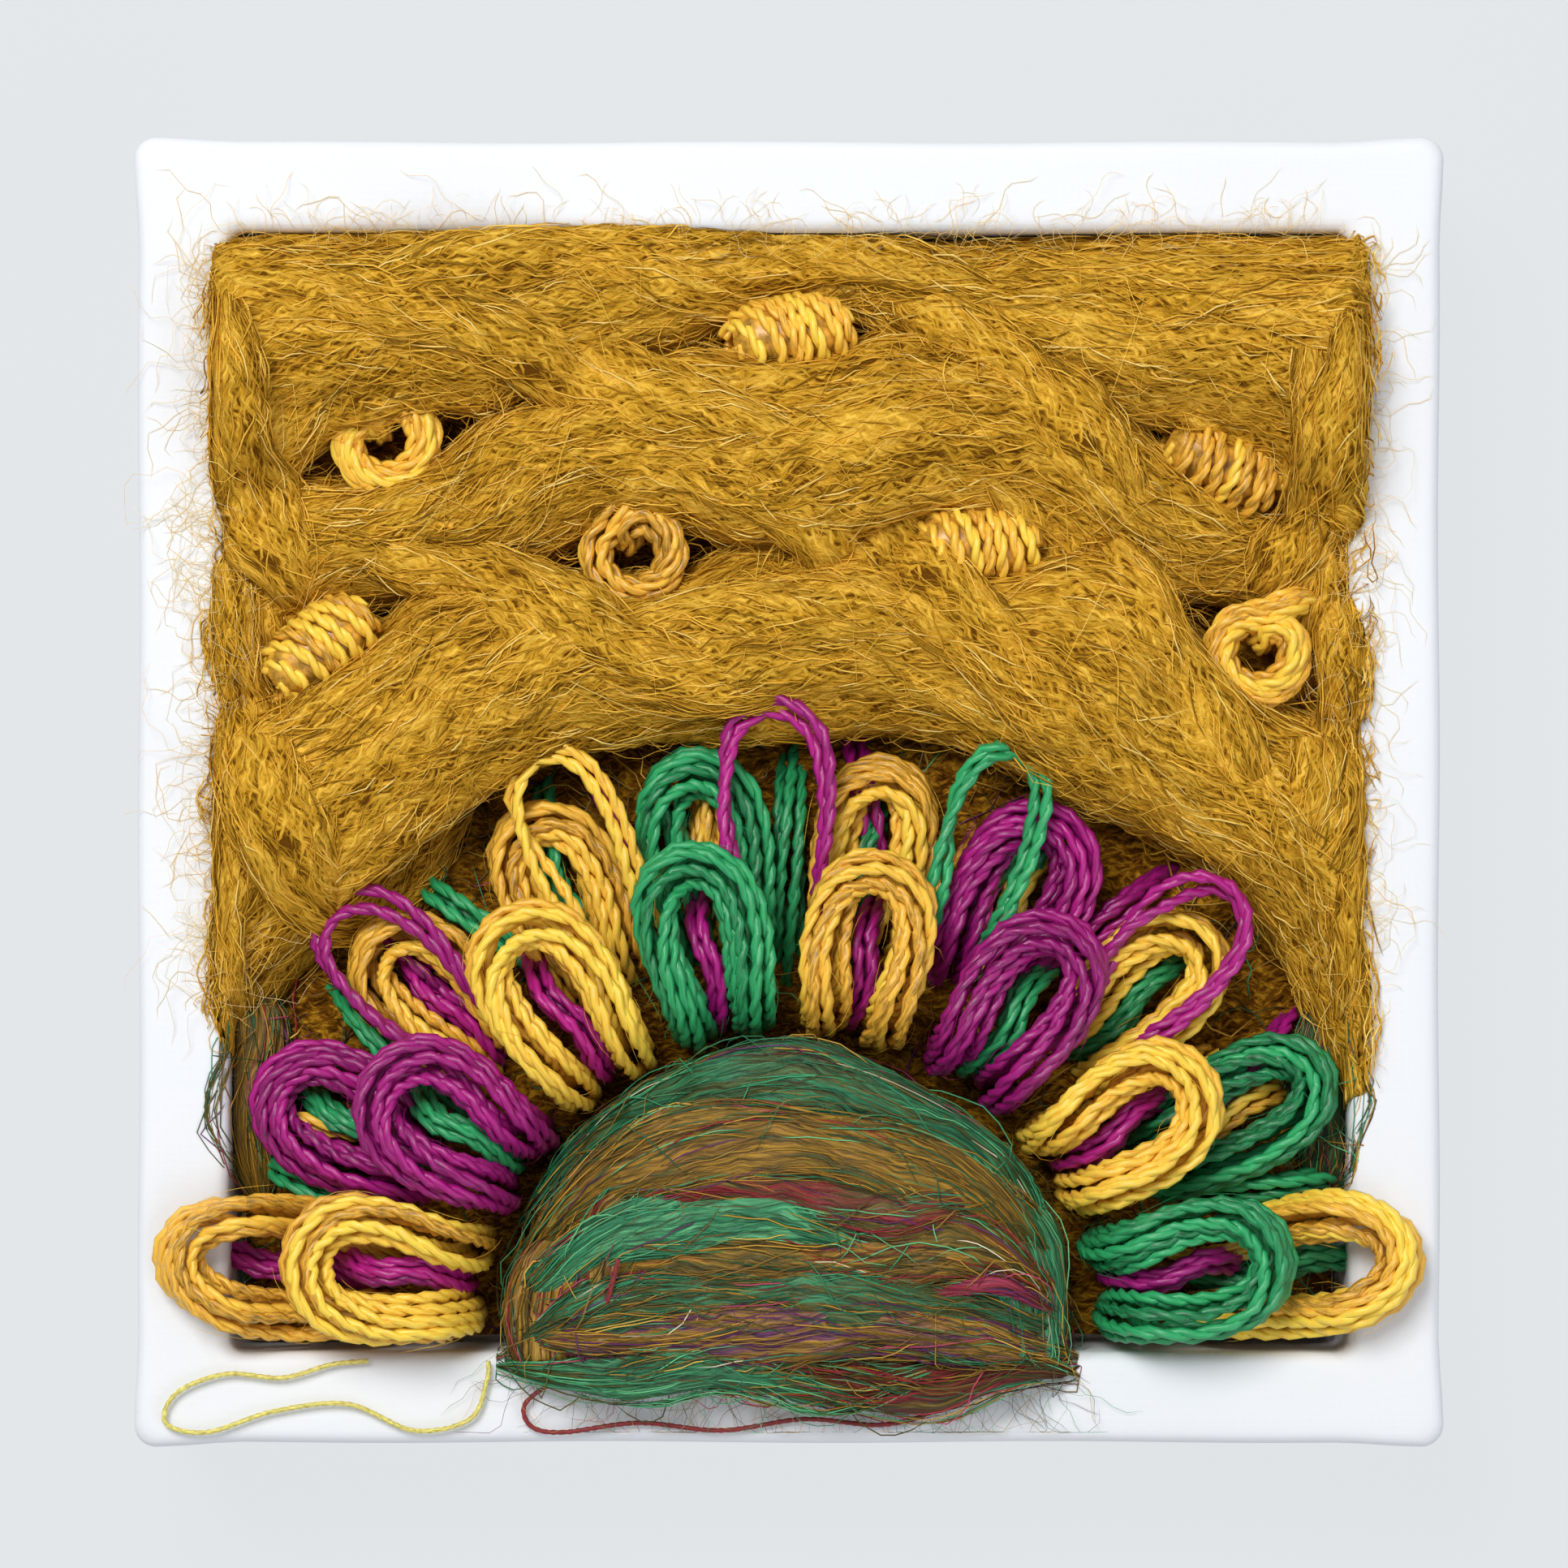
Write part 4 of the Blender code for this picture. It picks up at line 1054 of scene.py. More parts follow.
def make_dome(rings, sides):
    """A closed ball: turn goes round it from +X and climb from its foot to its top, and waves in its
    reach make the lumps. flow_over flattens it against the bar. Its map runs across the picture, as
    its fibres do."""
    round_it = np.arange(sides) * math.tau / sides
    climb, turn = np.meshgrid(np.linspace(-1.5, 1.5, rings), round_it, indexing="ij")
    reach = HEART_RADIUS * (1 + 0.05 * np.cos(5 * turn + 4 * climb) + 0.03 * np.sin(11 * turn))
    out = reach * np.cos(climb)
    height = SEAT + HEART_HEIGHT / 2 * (1 + np.sin(climb))
    skin = np.stack([out * np.cos(turn) * HEART_WIDER, HEART_Y + out * np.sin(turn), height], -1)
    skin = skin.reshape(-1, 3)
    faces = ring_faces(1, rings, sides)
    corners = np.concatenate([part.ravel() for part in faces])
    uv = np.stack([skin[:, 0], skin[:, 1] - skin[:, 2]], -1)[corners] / MM
    return flow_over(skin, SPILL), faces, uv


dome_points, dome_faces, dome_uv = make_dome(DOME_RINGS, DOME_SIDES)
heart = add_mesh("heart_tuft", dome_points, dome_faces, mixed_finish("heart_mix", HEART_LOOKS), dome_uv)
add_piece(heart, "mixed_heart")


def mixed_top(x, y):
    """Height of the mixed fibre over any place: half an ellipse across the locks' arc, level from its
    crest inwards, and falling to the lower bar's face outside the window."""
    radius = np.hypot(x, y - HEART_Y)
    half = (MIXED_OUTER - MIXED_INNER) / 2
    share = np.clip((radius - MIXED_INNER) / half - 1, -0.5, 1)
    top = SEAT + half * (MIXED_DOWN * (share < 1) + MIXED_UP * np.sqrt(1 - share**2))
    past = np.clip((-WINDOW - y) / (3 * MM), 0, 1)
    return np.where(y < -WINDOW, FACE + np.maximum(top - FACE, 0.8 * MM) * (1 - 0.75 * past), top)


for number, (half, dyes, stops) in enumerate(SILK_LOCKS + CORNER_LOCKS, 1):
    top = mixed_top if number <= len(SILK_LOCKS) else level(CORNER_TOP)
    lock = lay_lock(stops, half * MM, top, 2.1 * number, SILK_LIFT, SILK_FULLNESS)
    silk = mixed_finish(f"silk_mix_{number}", dyes)
    add_piece(rope_body(f"silk_lock_{number}", lock, SILK_LOCK_RINGS, LOCK_SIDES, silk, FREE))
    combed = fibres_on(lock, int(SILK_SHARE * half * lock["length"] / MM), **SILK)
    paths = clear_of_bars(np.concatenate([combed, fibres_on(lock, **SILK_LOOSE)]), SKIM)
    thick = rng.uniform(0.024, 0.048, len(paths))
    shares = 5 * np.bincount(dyes, minlength=len(MIXED_DYES)) + (GREEN_SHARES + BROWN_SHARES) / 4
    dye = draw_dyes(len(paths), shares)
    add_fibres(f"silk_wisps_{number}", paths, thick, taper, silk_fibre, dye=dye)


def dome_paths(count, rings):
    """Fibres combed over the heart from side to side: each starts on it and keeps its distance from
    the bar but for a wave and a slow curl, at the height of the ball there."""
    x = draw(count, -6.0, 6.0) * MM
    y = draw(count, -3.4, 5.9) * MM
    run = np.linspace(-0.5, 0.5, rings) * draw(count, 4, 9) * MM
    angle = scatter(count, 0.16) + scatter(count, 90) * run
    wave = 0.12 * MM * np.sin(run * math.tau / (2.6 * MM) + draw(count, 0, 6.3))
    x = x + run * np.cos(angle)
    y = y + run * np.sin(angle) + wave - (x / (7 * MM)) ** 2 * 0.8 * MM
    lift = draw(count, 0.02, 0.45) * MM
    ball = np.sqrt(np.clip(1 - (x**2 + y**2) / (HEART_RADIUS * HEART_WIDER) ** 2, 0.02, 1))
    return np.stack([x, HEART_Y + y, SEAT + HEART_HEIGHT / 2 * (1 + ball) + lift], -1)


def walk(angle, run):
    """Distances forward and aside on a path that heads at its angle at each point of its run."""
    step = np.diff(run, axis=1, prepend=0)
    return np.cumsum(np.cos(angle) * step, axis=1), np.cumsum(np.sin(angle) * step, axis=1)


def spill_paths(count, rings):
    """Ends of fibre that run off the heart and the locks on to the lower bar: each starts just inside
    the window, heads outwards with a curl, and comes down to the bar's face."""
    start_x = draw(count, -14.5, 14.5) * MM
    start_y = -WINDOW + draw(count, -2.2, 1.5) * MM
    length = draw(count, 2.0, 7.0) * MM
    share = np.linspace(0, 1, rings)
    run = share * length
    side = np.where(draw(count, 0, 1) < 0.5, -1, 1)
    angle = side * (draw(count, 0.2, 1.9) - draw(count, -200, 620) * run)
    angle = angle + 0.35 * np.sin(run * 2600 + draw(count, 0, 6.3))
    forward, aside = walk(angle, run)
    x = start_x + aside
    y = np.maximum(start_y - forward, -HALF + 0.9 * MM)
    crest = FACE + draw(count, 0.6, 2.2) * MM
    low = FACE + draw(count, 0.05, 0.4) * MM
    return np.stack([x, y, crest + (low - crest) * share**0.8], -1)


heart_paths = flow_over(dome_paths(DOME_FIBRES, HEART_RINGS), SPILL + 0.6 * MM)
heart_paths = np.concatenate([heart_paths, spill_paths(SPILL_FIBRES, HEART_RINGS)])
heart_paths = clear_of_bars(heart_paths, SKIM)
heart_thick = rng.uniform(0.008, 0.018, len(heart_paths))
heart_dye = draw_dyes(len(heart_paths), GREEN_SHARES + 2 * BROWN_SHARES)
add_fibres("heart_fibres", heart_paths, heart_thick, taper, silk_fibre, dye=heart_dye)


# Petals
# Two rows of loops of stranded cotton floss in gold, green and magenta, each stitched down at its
# inner end. A loop is eight strands side by side, and each strand is two plies twisted together.
# A shorter stitch of another colour fills each loop, and a fine fuzz stands off the strands.
BUNDLE = 1.45 * MM
FOOT_LIFT = 0.2 * BUNDLE
STRANDS = 8
PLY = 0.238 * MM  # radius of one ply
PLY_APART = 0.174 * MM  # from the strand's middle to the ply's
STRAND_PITCH = 2.7 * MM  # along the strand, for one full turn of its plies
PETAL_RINGS = 50
FILL_RINGS = 20
FILL_STRANDS = 4
FILL_APART = 0.52 * MM
FILL_FOOT = 0.5 * MM
TUFT_RINGS = 18
FUZZ_RINGS = 6
FUZZ_HAIRS = 22  # on each loop
HAIR = 0.014  # radius in millimetres
PLY_SIDES = 5
PETAL_PATH = (  # shares of a loop's reach, half width and height: out, aside and up
    (0.00, 0.69, 0.00),
    (0.05, 0.69, 0.60),
    (0.22, 0.80, 1.00),
    (0.58, 1.00, 1.00),
    (0.88, 0.78, 0.98),
    (1.00, 0.00, 0.96),
)
RAIL_PATH = (  # the same for the two loops that lie over a bar
    (0.00, 0.69, 0.00),
    (0.05, 0.69, 0.60),
    (0.22, 0.80, 0.98),
    (0.45, 1.00, 1.04),
    (0.72, 1.00, 1.58),
    (0.93, 0.62, 1.61),
    (1.00, 0.00, 1.62),
)
FILL_PATH = (  # the same for the stitch inside a loop
    (0.02, 0.10, 0.05),
    (0.10, 0.05, 0.60),
    (0.32, -0.12, 0.84),
    (0.58, 0.10, 0.80),
    (0.78, -0.05, 0.50),
    (0.84, 0.00, 0.00),
)
LOW_ROW = {"count": 10, "foot": 21.6 * MM, "reach": 10.2 * MM, "half": 2.5 * MM, "crest": 14.3 * MM}
HIGH_ROW = {"count": 8, "foot": 17.3 * MM, "reach": 9.6 * MM, "half": 2.6 * MM, "crest": 17.8 * MM}
RAIL_REACH = 11.2 * MM
LAST_HIGH_REACH = 8.8 * MM
SHORTEST = 0.86
NARROWEST = 0.84
CREST_SPREAD = 0.12 * MM
LEAN = 0.9
ROLL = 0.9 * MM
LOW_COLOURS = "gold green gold magenta gold green gold gold magenta gold".split()
HIGH_COLOURS = "green gold magenta gold green gold magenta gold".split()
FILL_COLOURS = {"gold": ("green", "magenta"), "green": ("magenta", "gold"), "magenta": ("green", "gold")}
TUFT_HEIGHTS = (0.0, 2.7, 3.4, 2.9, 0.2)  # over the seat, in millimetres
TUFTS = (  # angle, both ends' distances from the heart in millimetres, colour and strands
    (18.5, 22, 31.5, "green", 3),
    (30, 23, 32.5, "magenta", 2),
    (36, 19, 28.5, "gold", 3),
    (53.5, 23, 32.8, "magenta", 3),
    (64, 24, 32.6, "green", 4),
    (72.5, 19, 30.5, "gold", 2),
    (81, 23.5, 32.8, "magenta", 3),
    (90, 19, 32, "green", 4),
    (98.5, 22, 32.8, "gold", 3),
    (108, 24.5, 32.8, "magenta", 2),
    (117, 23, 32.8, "green", 3),
    (126, 22.5, 32.6, "green", 3),
    (134, 24, 32.6, "magenta", 3),
    (144, 20, 31.5, "green", 4),
    (155, 23, 32, "gold", 2),
    (162, 22, 30.5, "green", 3),
)
THIN_LOOPS = (  # angle, half width, reach and crest in millimetres, and colour
    (45, 2.6, 11.2, 15.7, "magenta"),
    (68, 2.2, 11.6, 16.3, "green"),
    (91, 2.9, 11.4, 16.7, "magenta"),
    (112, 2.4, 11.6, 16.3, "gold"),
    (136, 2.7, 11.2, 15.7, "magenta"),
)
THIN_FOOT = 22.6 * MM
THIN_RINGS = 44
THIN_STRANDS = 2
THIN_APART = 0.42 * MM
FLOSS = {
    "gold": (0.93, 0.49, 0.052),
    "green": (0.022, 0.290, 0.100),
    "magenta": (0.330, 0.008, 0.170),
}


def floss_finish(name, colour):
    """Mercerised cotton: satin, with hair-fine fibres along each ply, and some strands darker at random.
    The ramp's dark end is painted shade and its light end a painted highlight.
    """
    material, tree, shader = finish(name)
    grain = crimped(tree, own_map(tree), 0.0, 1.3, 9.0)
    tone = node(tree, "Attribute", {"attribute_name": "tone"}).outputs["Fac"]
    shade_and_tone = maths(tree, "MULTIPLY_ADD", tone, 0.38, grain)
    # Painted shade at a little over a quarter of the colour, painted highlight at half as bright again.
    stops = [(0.36, shaded(colour, 0.28)), (0.62, colour), (0.94, shaded(colour, 1.5))]
    coat(tree, shader, ramp(tree, shade_and_tone, stops), 0.31, 0.5)
    emboss(tree, shader, grain, 0.8, 0.06 * MM)
    return material


def petal_points(table, angle, foot, size, rings):
    """One loop: up from its first foot, out to the tip, and back down to its second foot."""
    back = [(out, -aside, up) for out, aside, up in table[-2::-1]]
    return place_stitch(np.array([*table, *back]), angle, foot, SEAT + FOOT_LIFT, size, rings)


def place_stitch(rows, angle, foot, bottom, size, rings):
    """A smooth path through rows of shares (out, aside, up), set out from the heart at an angle. It
    leans aside by its distance out, and its one side is rolled up."""
    tipward, aside, up = rows.T
    up = bottom + up * (size["crest"] - bottom) + size["roll"] * tipward * (1 + aside) / 2
    aside = aside * size["half"] + size["lean"] * tipward
    path = smooth_path(np.column_stack([tipward * size["reach"], aside, up]), rings)
    out = foot + path[:, 0]
    x = out * math.cos(angle) - path[:, 1] * math.sin(angle)
    y = out * math.sin(angle) + path[:, 1] * math.cos(angle)
    return np.column_stack([x, HEART_Y + y, path[:, 2]])


def pinch(rings, amount, power):
    """Shares that draw a bundle together towards both its ends."""
    return 1 - amount * np.abs(np.linspace(-1, 1, rings)) ** power


def spin_strands(path, up, places, twist, squeeze, wander=0.12):
    """Plies of a bundle. Each strand keeps its place (angle, distance) round the path, turned slowly by
    twist and drawn in by squeeze, and wanders a little. Its two plies wind round it once a pitch."""
    _, left, rise = path_frame(path, up)
    run = path_run(path)[None, :]
    angle = places[:, :1] + twist * run / run[0, -1]
    drift = rng.uniform(0, 6.3, (len(places), 2, 1))
    out = places[:, 1:2] * squeeze * (1 + wander * np.sin(run / (3.1 * MM) + drift[:, 0]))
    angle = angle + wander * 2.5 * np.sin(run / (4.1 * MM) + drift[:, 1])
    strand = path + left * (out * np.cos(angle))[..., None] + rise * (out * np.sin(angle))[..., None]
    wind = run[None] * math.tau / STRAND_PITCH + rng.uniform(0, 6.3, (len(places), 1, 1))
    wind = wind + np.array([0, math.pi]).reshape(1, 2, 1)
    offset = left * np.cos(wind)[..., None] + rise * np.sin(wind)[..., None]
    plies = strand[:, None] + offset * PLY_APART
    return plies.reshape(-1, *path.shape)


def floss_bundle(name, plies, up, colour):
    """Plies as tubes, in one piece, each strand with its own tone."""
    count, rings = plies.shape[:2]
    thick = rng.uniform(0.95, 1.06, count) * PLY
    tone = np.repeat(rng.uniform(0, 1, count // 2), 2)
    radii = thick[:, None] * np.ones(rings)
    return add_tubes(name, plies, radii, PLY_SIDES, up, floss_material[colour], tone)


def ring_places(strands, radius):
    """Places of strands in a ring, with one in three drawn inwards a little."""
    angle = np.arange(strands) * math.tau / strands
    return np.stack([angle, radius * np.where(np.arange(strands) % 3 == 1, 0.86, 1.0)], -1)


def fuzz_paths(path, up, count, radius):
    """Short hairs off a bundle: each leaves it at a random place on its skin, runs along it at a
    slant, and stands off by up to half a millimetre at its far end."""
    _, left, rise = path_frame(path, up)
    share = np.linspace(0, 1, FUZZ_RINGS)
    span = draw(count, 0.05, 0.13)
    place = draw(count, 0, 1) * (1 - span) + span * share
    turn = draw(count, 0, 6.3) + scatter(count, 1.2) * share
    out = radius * 0.97 + draw(count, 0.1, 0.5) * MM * share**2
    at = place * (len(path) - 1)
    index = np.arange(len(path))
    spot, aside, above = [read_table(at, index, table) for table in (path, left, rise)]
    return spot + aside * (out * np.cos(turn))[..., None] + above * (out * np.sin(turn))[..., None]


def add_stitch(name, plies, up, colour, node_name=None):
    """A bundle of plies as a piece. It may stand for a solid."""
    add_piece(floss_bundle(name, plies, up, colour), node_name)


def make_petals(name, row, colours, node_name):
    """A row of loops at even angles round the heart. The petal draws are the solids' own, in their
    order."""
    pitch = math.pi / row["count"]
    for index, colour in enumerate(colours):
        angle = (index + 0.5) * pitch
        longer, wider, higher, leaning, rolled = petal_draws.uniform(-1, 1, 5)
        size = {
            "reach": row["reach"] * (1 + SHORTEST + (1 - SHORTEST) * longer) / 2,
            "half": row["half"] * (1 + NARROWEST + (1 - NARROWEST) * wider) / 2,
            "crest": row["crest"] + CREST_SPREAD * higher,
            "roll": 0 if row is LOW_ROW else ROLL * abs(rolled),
        }
        size["lean"] = (row["half"] - size["half"]) * LEAN * math.copysign(1, leaning)
        table = PETAL_PATH
        if index not in (0, row["count"] - 1):
            room = (SIDE_LIMIT - BUNDLE) / abs(math.cos(angle)) - row["foot"]
            size["reach"] = min(size["reach"], room)
        elif row is LOW_ROW:
            table = RAIL_PATH
            size.update(reach=RAIL_REACH, half=row["half"], lean=0)
        else:
            size.update(reach=LAST_HIGH_REACH, half=row["half"], lean=0)
        path = petal_points(table, angle, row["foot"], size, PETAL_RINGS)
        up = (math.cos(angle), math.sin(angle), -1.0)
        share = np.linspace(-1, 1, PETAL_RINGS)
        squeeze = 1 - 0.3 * np.clip((np.abs(share) - 0.75) * 4, 0, 1)
        twist = rng.uniform(-1.0, 2.6)
        plies = spin_strands(path, up, ring_places(STRANDS, BUNDLE - PLY - PLY_APART), twist, squeeze)
        add_stitch(f"{name}_{index + 1:02d}", plies, up, colour, f"{node_name}_{index + 1:02d}")
        fuzz[colour].append(fuzz_paths(path, up, FUZZ_HAIRS, BUNDLE))
        fill = place_stitch(np.array(FILL_PATH), angle, row["foot"], SEAT + FILL_FOOT, size, FILL_RINGS)
        fill_up = (-math.sin(angle), math.cos(angle), 0.2)
        inner = FILL_COLOURS[colour][index % 2]
        places = ring_places(FILL_STRANDS, FILL_APART)
        fill_plies = spin_strands(fill, fill_up, places, rng.uniform(-1, 1), pinch(FILL_RINGS, 0.5, 3))
        add_stitch(f"{name}_fill_{index + 1:02d}", fill_plies, fill_up, inner)


def make_tufts():
    """Low stitches of two to four strands that fill the spaces between the loops, each from nearer
    the heart outwards, at a slant."""
    for index, (turn, near, far, colour, strands) in enumerate(TUFTS, 1):
        angle = math.radians(turn)
        slant = rng.uniform(-0.09, 0.09)
        spread = np.linspace(0, 1, len(TUFT_HEIGHTS))
        radius = (near + (far - near) * spread) * MM
        bearing = angle + slant * (spread - 0.5) * 2
        height = SEAT + np.array(TUFT_HEIGHTS) * MM
        stops = np.column_stack([radius * np.cos(bearing), HEART_Y + radius * np.sin(bearing), height])
        path = smooth_path(stops, TUFT_RINGS)
        up = (-math.sin(angle), math.cos(angle), 0.2)
        places = ring_places(strands, 0.17 * strands * MM)
        plies = spin_strands(path, up, places, rng.uniform(-1.5, 1.5), pinch(TUFT_RINGS, 0.4, 3))
        add_stitch(f"tuft_{index:02d}", plies, up, colour)


def make_thin_loops():
    """Loose loops of two strands that stand out past the others and lie on the edge of the wool."""
    for index, (turn, half, reach_out, crest, colour) in enumerate(THIN_LOOPS, 1):
        angle = math.radians(turn)
        size = dict(reach=reach_out * MM, half=half * MM, crest=crest * MM, roll=0.0, lean=0.4 * MM)
        path = petal_points(PETAL_PATH, angle, THIN_FOOT, size, THIN_RINGS)
        up = (math.cos(angle), math.sin(angle), -1.0)
        places = ring_places(THIN_STRANDS, THIN_APART)
        plies = spin_strands(path, up, places, rng.uniform(3, 6), 1.0, wander=0.4)
        add_stitch(f"thin_loop_{index}", plies, up, colour)


floss_material = {colour: floss_finish(f"{colour}_cotton", value) for colour, value in FLOSS.items()}
petal_draws = np.random.default_rng(7)
fuzz = {colour: [] for colour in FLOSS}
make_petals("low_loop", LOW_ROW, LOW_COLOURS, "petal_low")
make_petals("high_loop", HIGH_ROW, HIGH_COLOURS, "petal_high")
make_tufts()
make_thin_loops()
for colour, value in FLOSS.items():
    hairs = np.concatenate(fuzz[colour])
    cotton_hair = fibre_finish(f"{colour}_hair", [(0.0, value), (1.0, shaded(value, 1.4))])
    thick = np.full(len(hairs), HAIR)
    tones = rng.uniform(0, 1, len(hairs))
    add_fibres(f"{colour}_fuzz", hairs, thick, taper, cotton_hair, tones)


# Knots
# Gold floss knots pressed into the valleys between the ropes. A bullion is four strands wound
# side by side round a core; a ring is a short loop of the whole floss whose end goes down inside.
BULLION_LENGTH = 6.8 * MM
BULLION_RADIUS = 2.3 * MM
BULLION_STRANDS = 4
BULLION_TURNS = 1.9
RING_RADIUS = 2.05 * MM
RING_TUBE = 1.05 * MM
RING_RINGS = 58
BULLION_RINGS = 64
CORE_RINGS = 14
CORE_SIDES = 12
RING_STRANDS = 7
HOLLOW_WISPS = 300


def bullion_plies(middle, axis_angle):
    """Strands spaced evenly round a turn and wound on a barrel, whose radius is the square root of one
    less the fourth power of the place along it. The turns lean, each strand by its own amount."""
    axis = np.array([math.sin(axis_angle), -math.cos(axis_angle), 0.0])
    side = np.array([math.cos(axis_angle), math.sin(axis_angle), 0.0])
    share = np.linspace(-1, 1, BULLION_RINGS)
    barrel = BULLION_RADIUS * np.sqrt(1 - (0.95 * share) ** 4) - PLY - PLY_APART
    barrel = np.maximum(barrel, 0.4 * BULLION_RADIUS)
    plies = []
    for strand in range(BULLION_STRANDS):
        turn = share * math.pi * BULLION_TURNS + strand * math.tau / BULLION_STRANDS
        lean = 0.42 + rng.uniform(-0.1, 0.1)
        sway = lean * barrel * np.sin(turn + rng.uniform(-0.25, 0.25))
        along = share * (BULLION_LENGTH / 2 - 1.4 * PLY) + sway
        wide = barrel * (1 + 0.05 * np.sin(share * 9 + strand * 2))
        path = middle + axis * along[:, None] + side * (wide * np.cos(turn))[:, None]
        path[:, 2] += wide * np.sin(turn)
        plies.append(spin_strands(path, axis, np.array([[0.0, 0.0]]), 0.0, 1.0))
    return np.concatenate(plies), axis


def bullion_core(name, middle, axis):
    """The floss inside the wraps, as one plain barrel."""
    share = np.linspace(-1, 1, CORE_RINGS)
    path = middle + axis * (share * BULLION_LENGTH / 2 * 0.88)[:, None]
    radius = (BULLION_RADIUS - 2.6 * PLY) * np.sqrt(1 - (0.94 * share) ** 4)
    gold, tone = floss_material["gold"], np.zeros(1)
    return add_tubes(name, path[None], radius[None], CORE_SIDES, (0.0, 0.0, 1.0), gold, tone)


def ring_plies(middle, start):
    """The whole floss in a ring: it comes in over the ring's outside from the wool, goes once round,
    and its end turns in towards the middle and down."""
    stops = [(-0.15, RING_RADIUS + 2.3 * MM, -1.5 * MM), (0.02, RING_RADIUS + 1.1 * MM, 0.1 * MM)]
    stops += [(angle, RING_RADIUS, 0.0) for angle in np.linspace(0.5, math.tau * 0.93, 9)]
    stops += [(math.tau + 0.1, 0.75 * RING_RADIUS, 0.1 * MM), (math.tau + 0.3, 0.3 * RING_RADIUS, -1.5 * MM)]
    angle, radius, height = np.array(stops).T
    rows = np.stack([radius * np.cos(start + angle), radius * np.sin(start + angle), height], -1)
    path = middle + smooth_path(rows, RING_RINGS)
    places = ring_places(RING_STRANDS, RING_TUBE - PLY - PLY_APART)
    return spin_strands(path, LEVEL_UP, places, 1.6, pinch(RING_RINGS, 0.3, 4))


for number, row in enumerate(KNOTS, 1):
    angle = math.radians(row["angle"])
    radius = float(border_radius(row["border"], angle))
    slope = math.atan((float(border_radius(row["border"], angle + 0.01)) - radius) / (0.01 * radius))
    middle = np.array([radius * math.cos(angle), HEART_Y + radius * math.sin(angle), row["up"] * MM])
    if row["kind"] == "bullion":
        plies, axis = bullion_plies(middle, angle - slope)
        knot = floss_bundle(f"bullion_{number}", plies, axis, "gold")
        add_piece(bullion_core(f"bullion_core_{number}", middle, axis))
    else:
        knot = floss_bundle(f"ring_knot_{number}", ring_plies(middle, angle), LEVEL_UP, "gold")
    add_piece(knot, f"knot_{number}")


def hollow_paths(count, rings):
    """Wool drawn across the hollows at both ends of the knots: each wisp runs nearly along the
    border, a little below the knot's middle, and bows up."""
    knot = rng.integers(0, len(KNOTS), (count, 1))
    border = np.array([row["border"] for row in KNOTS])[knot]
    turn = np.radians([row["angle"] for row in KNOTS])[knot]
    away = rng.choice([-1.0, 1.0], (count, 1)) * draw(count, 3.1, 6.6) * MM
    turn = turn + away / BORDER_RADII[1]
    radius = border_radius(border, turn) + scatter(count, 0.9) * MM
    size = draw(count, 2.0, 4.6) * MM
    run = np.linspace(-0.5, 0.5, rings) * size
    heading = turn + math.pi / 2 + scatter(count, 0.4) + scatter(count, 300) * run
    x, y = heading_off(radius, turn, heading, run)
    depth = np.array([row["up"] for row in KNOTS])[knot] - draw(count, 0.5, 2.4)
    return np.stack([x, y, (depth + 0.5 * (1 - (2 * run / size) ** 2)) * MM], -1)


hollows = hollow_paths(HOLLOW_WISPS, CREASE_RINGS)
hollow_thick = rng.uniform(0.034, 0.066, HOLLOW_WISPS)
hollow_tones = rng.uniform(0.1, 0.75, HOLLOW_WISPS)
add_fibres("hollow_wisps", hollows, hollow_thick, spindle, wool_fibre, hollow_tones)


# Halo
# Fine stray wool that has worked out of the ropes and lies in curls over the bars, pale against
# the canvas and denser along the left bar.
HALO_CLEAR = 0.06 * MM
HALO = (  # piece, rings, radii in millimetres, and for each bar its count, number and longest curl
    ("stray_wool", 10, (0.009, 0.017), ((170, 0, 6.5), (110, 1, 5.0), (330, 2, 8.5))),
    ("edge_fuzz", 7, (0.008, 0.014), ((280, 0, 2.6), (240, 1, 2.4), (300, 2, 3.0))),
)


def halo_paths(count, rings, bar, longest):
    """Curls that start just inside the window and cross on to one bar: each turns steadily, by up to
    half a turn or more, and floats a little over the face. bar is the quarter turns from the right."""
    c, s = QUARTERS[bar]
    out = WINDOW - draw(count, -0.8, 1.6) * MM
    beside = draw(count, -0.35, 0.97) if bar != 1 else draw(count, -0.97, 0.97)
    beside = beside * WINDOW * (-1 if bar == 2 else 1)
    length = draw(count, 1.5, longest) * MM
    run = np.linspace(0, 1, rings) * length
    curl = rng.choice([-1.0, 1.0], (count, 1)) * draw(count, 150, 900)
    wobble = 0.5 * np.sin(run * 2400 + draw(count, 0, 6.3))
    angle = scatter(count, 1.1) - curl * length / 3 + curl * run + wobble
    forward, aside = walk(angle, run)
    across = np.minimum(out + forward, HALF + 0.4 * MM)
    down = beside + aside
    lift = draw(count, 0.1, 1.5) * MM * np.sin(np.linspace(0.3, math.pi * 0.9, rings))
    height = FACE - 0.5 * MM + lift + 0 * across
    return np.stack([c * across - s * down, s * across + c * down, height], -1)


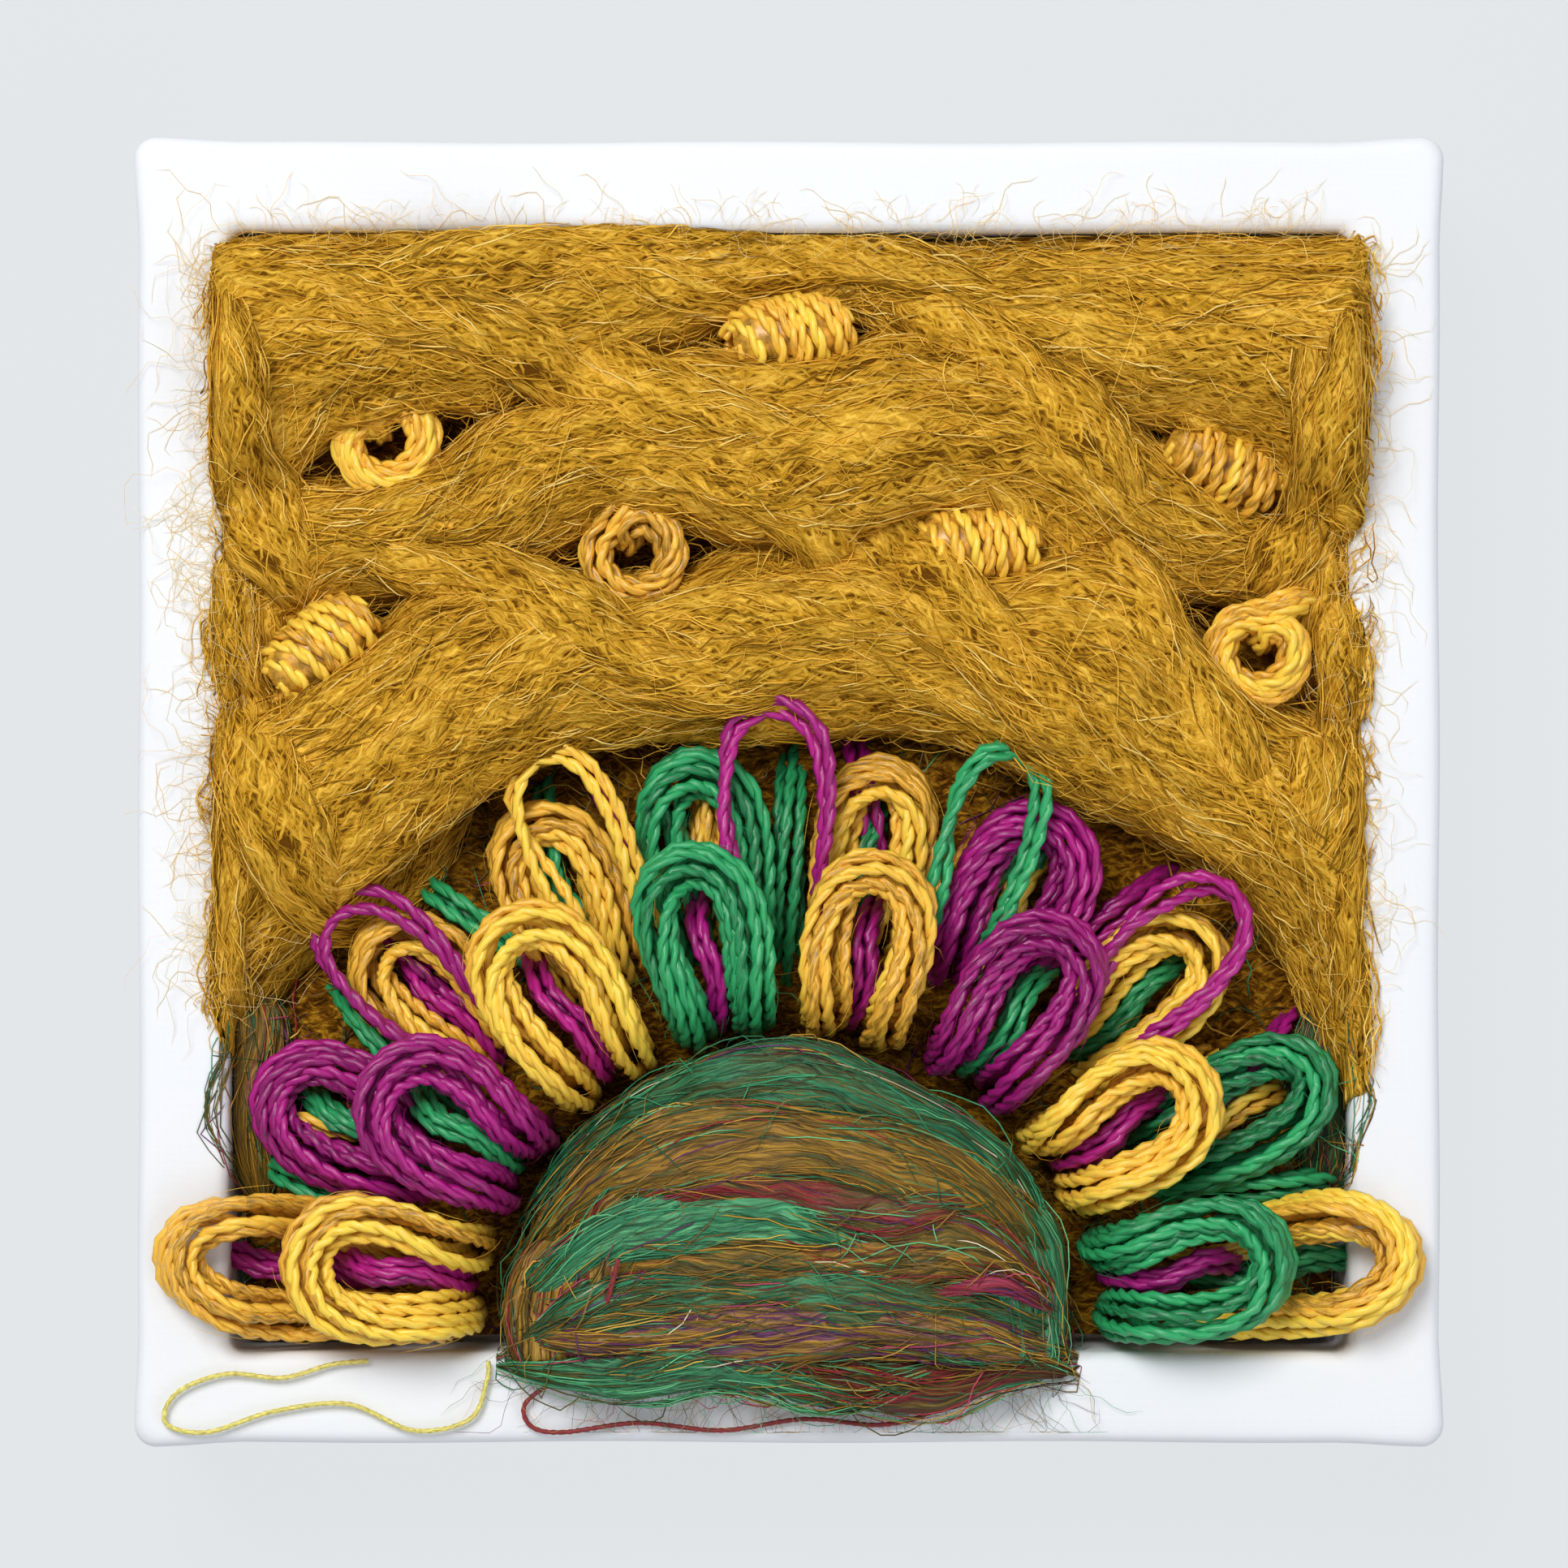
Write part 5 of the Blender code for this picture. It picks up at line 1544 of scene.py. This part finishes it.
stray_fibre = fibre_finish("stray_fibre", [(0.0, WOOL_LIGHT), (1.0, (0.93, 0.79, 0.44))])
for halo_name, rings, radii, rows in HALO:
    halo = np.concatenate([halo_paths(count, rings, bar, longest) for count, bar, longest in rows])
    halo = clear_of_bars(halo, HALO_CLEAR)
    thick = rng.uniform(*radii, len(halo))
    add_fibres(halo_name, halo, thick, taper, stray_fibre, rng.uniform(0, 1, len(halo)))


# Floor and light
# A plain pale ground that glows evenly, so it takes hardly any shadow, one large soft light from
# above the picture's top left, a weaker one from the right, and an even sky.
FLOOR_SIZE = 3.0
FLOOR_COLOUR = (0.750, 0.780, 0.804)
KEY = {"place": (-0.14, 0.22, 0.46), "size": 0.22, "watts": 1.93, "colour": (1.0, 0.99, 0.97)}
FILL = {"place": (0.30, -0.20, 0.42), "size": 0.40, "watts": 0.6, "colour": (0.96, 0.98, 1.0)}
SKY = (0.95, 0.975, 1.0)
SKY_STRENGTH = 0.40

floor_material, _, floor_shader = finish("floor_paper")
for socket, value in {
    "Base Color": (0.05, 0.05, 0.05, 1),
    "Emission Color": (*FLOOR_COLOUR, 1),
    "Emission Strength": 0.95,
    "Roughness": 0.9,
    "Specular IOR Level": 0.1,
}.items():
    floor_shader.inputs[socket].default_value = value
reach = FLOOR_SIZE / 2
floor_points = np.array([[-reach, -reach, 0], [reach, -reach, 0], [reach, reach, 0], [-reach, reach, 0]])
floor_points[:, 2] = -0.05 * MM
floor = add_mesh("floor", floor_points, [np.array([[0, 1, 2, 3]])], floor_material)

for label, lamp in (("key", KEY), ("fill", FILL)):
    data = bpy.data.lights.new(label, "AREA")
    data.shape = "SQUARE"
    data.size = lamp["size"]
    data.energy = lamp["watts"]
    data.color = lamp["colour"]
    light = bpy.data.objects.new(label, data)
    bpy.context.scene.collection.objects.link(light)
    light.location = lamp["place"]
    x, y, z = np.array([0, 0, FACE]) - np.array(lamp["place"])
    light.rotation_euler = (math.atan2(math.hypot(x, y), -z), 0, math.atan2(x, -y) + math.pi)

world = bpy.data.worlds.new("studio")
world.use_nodes = True
world.node_tree.nodes["Background"].inputs["Color"].default_value = (*SKY, 1)
world.node_tree.nodes["Background"].inputs["Strength"].default_value = SKY_STRENGTH
bpy.context.scene.world = world
bpy.context.scene.view_settings.view_transform = "Standard"
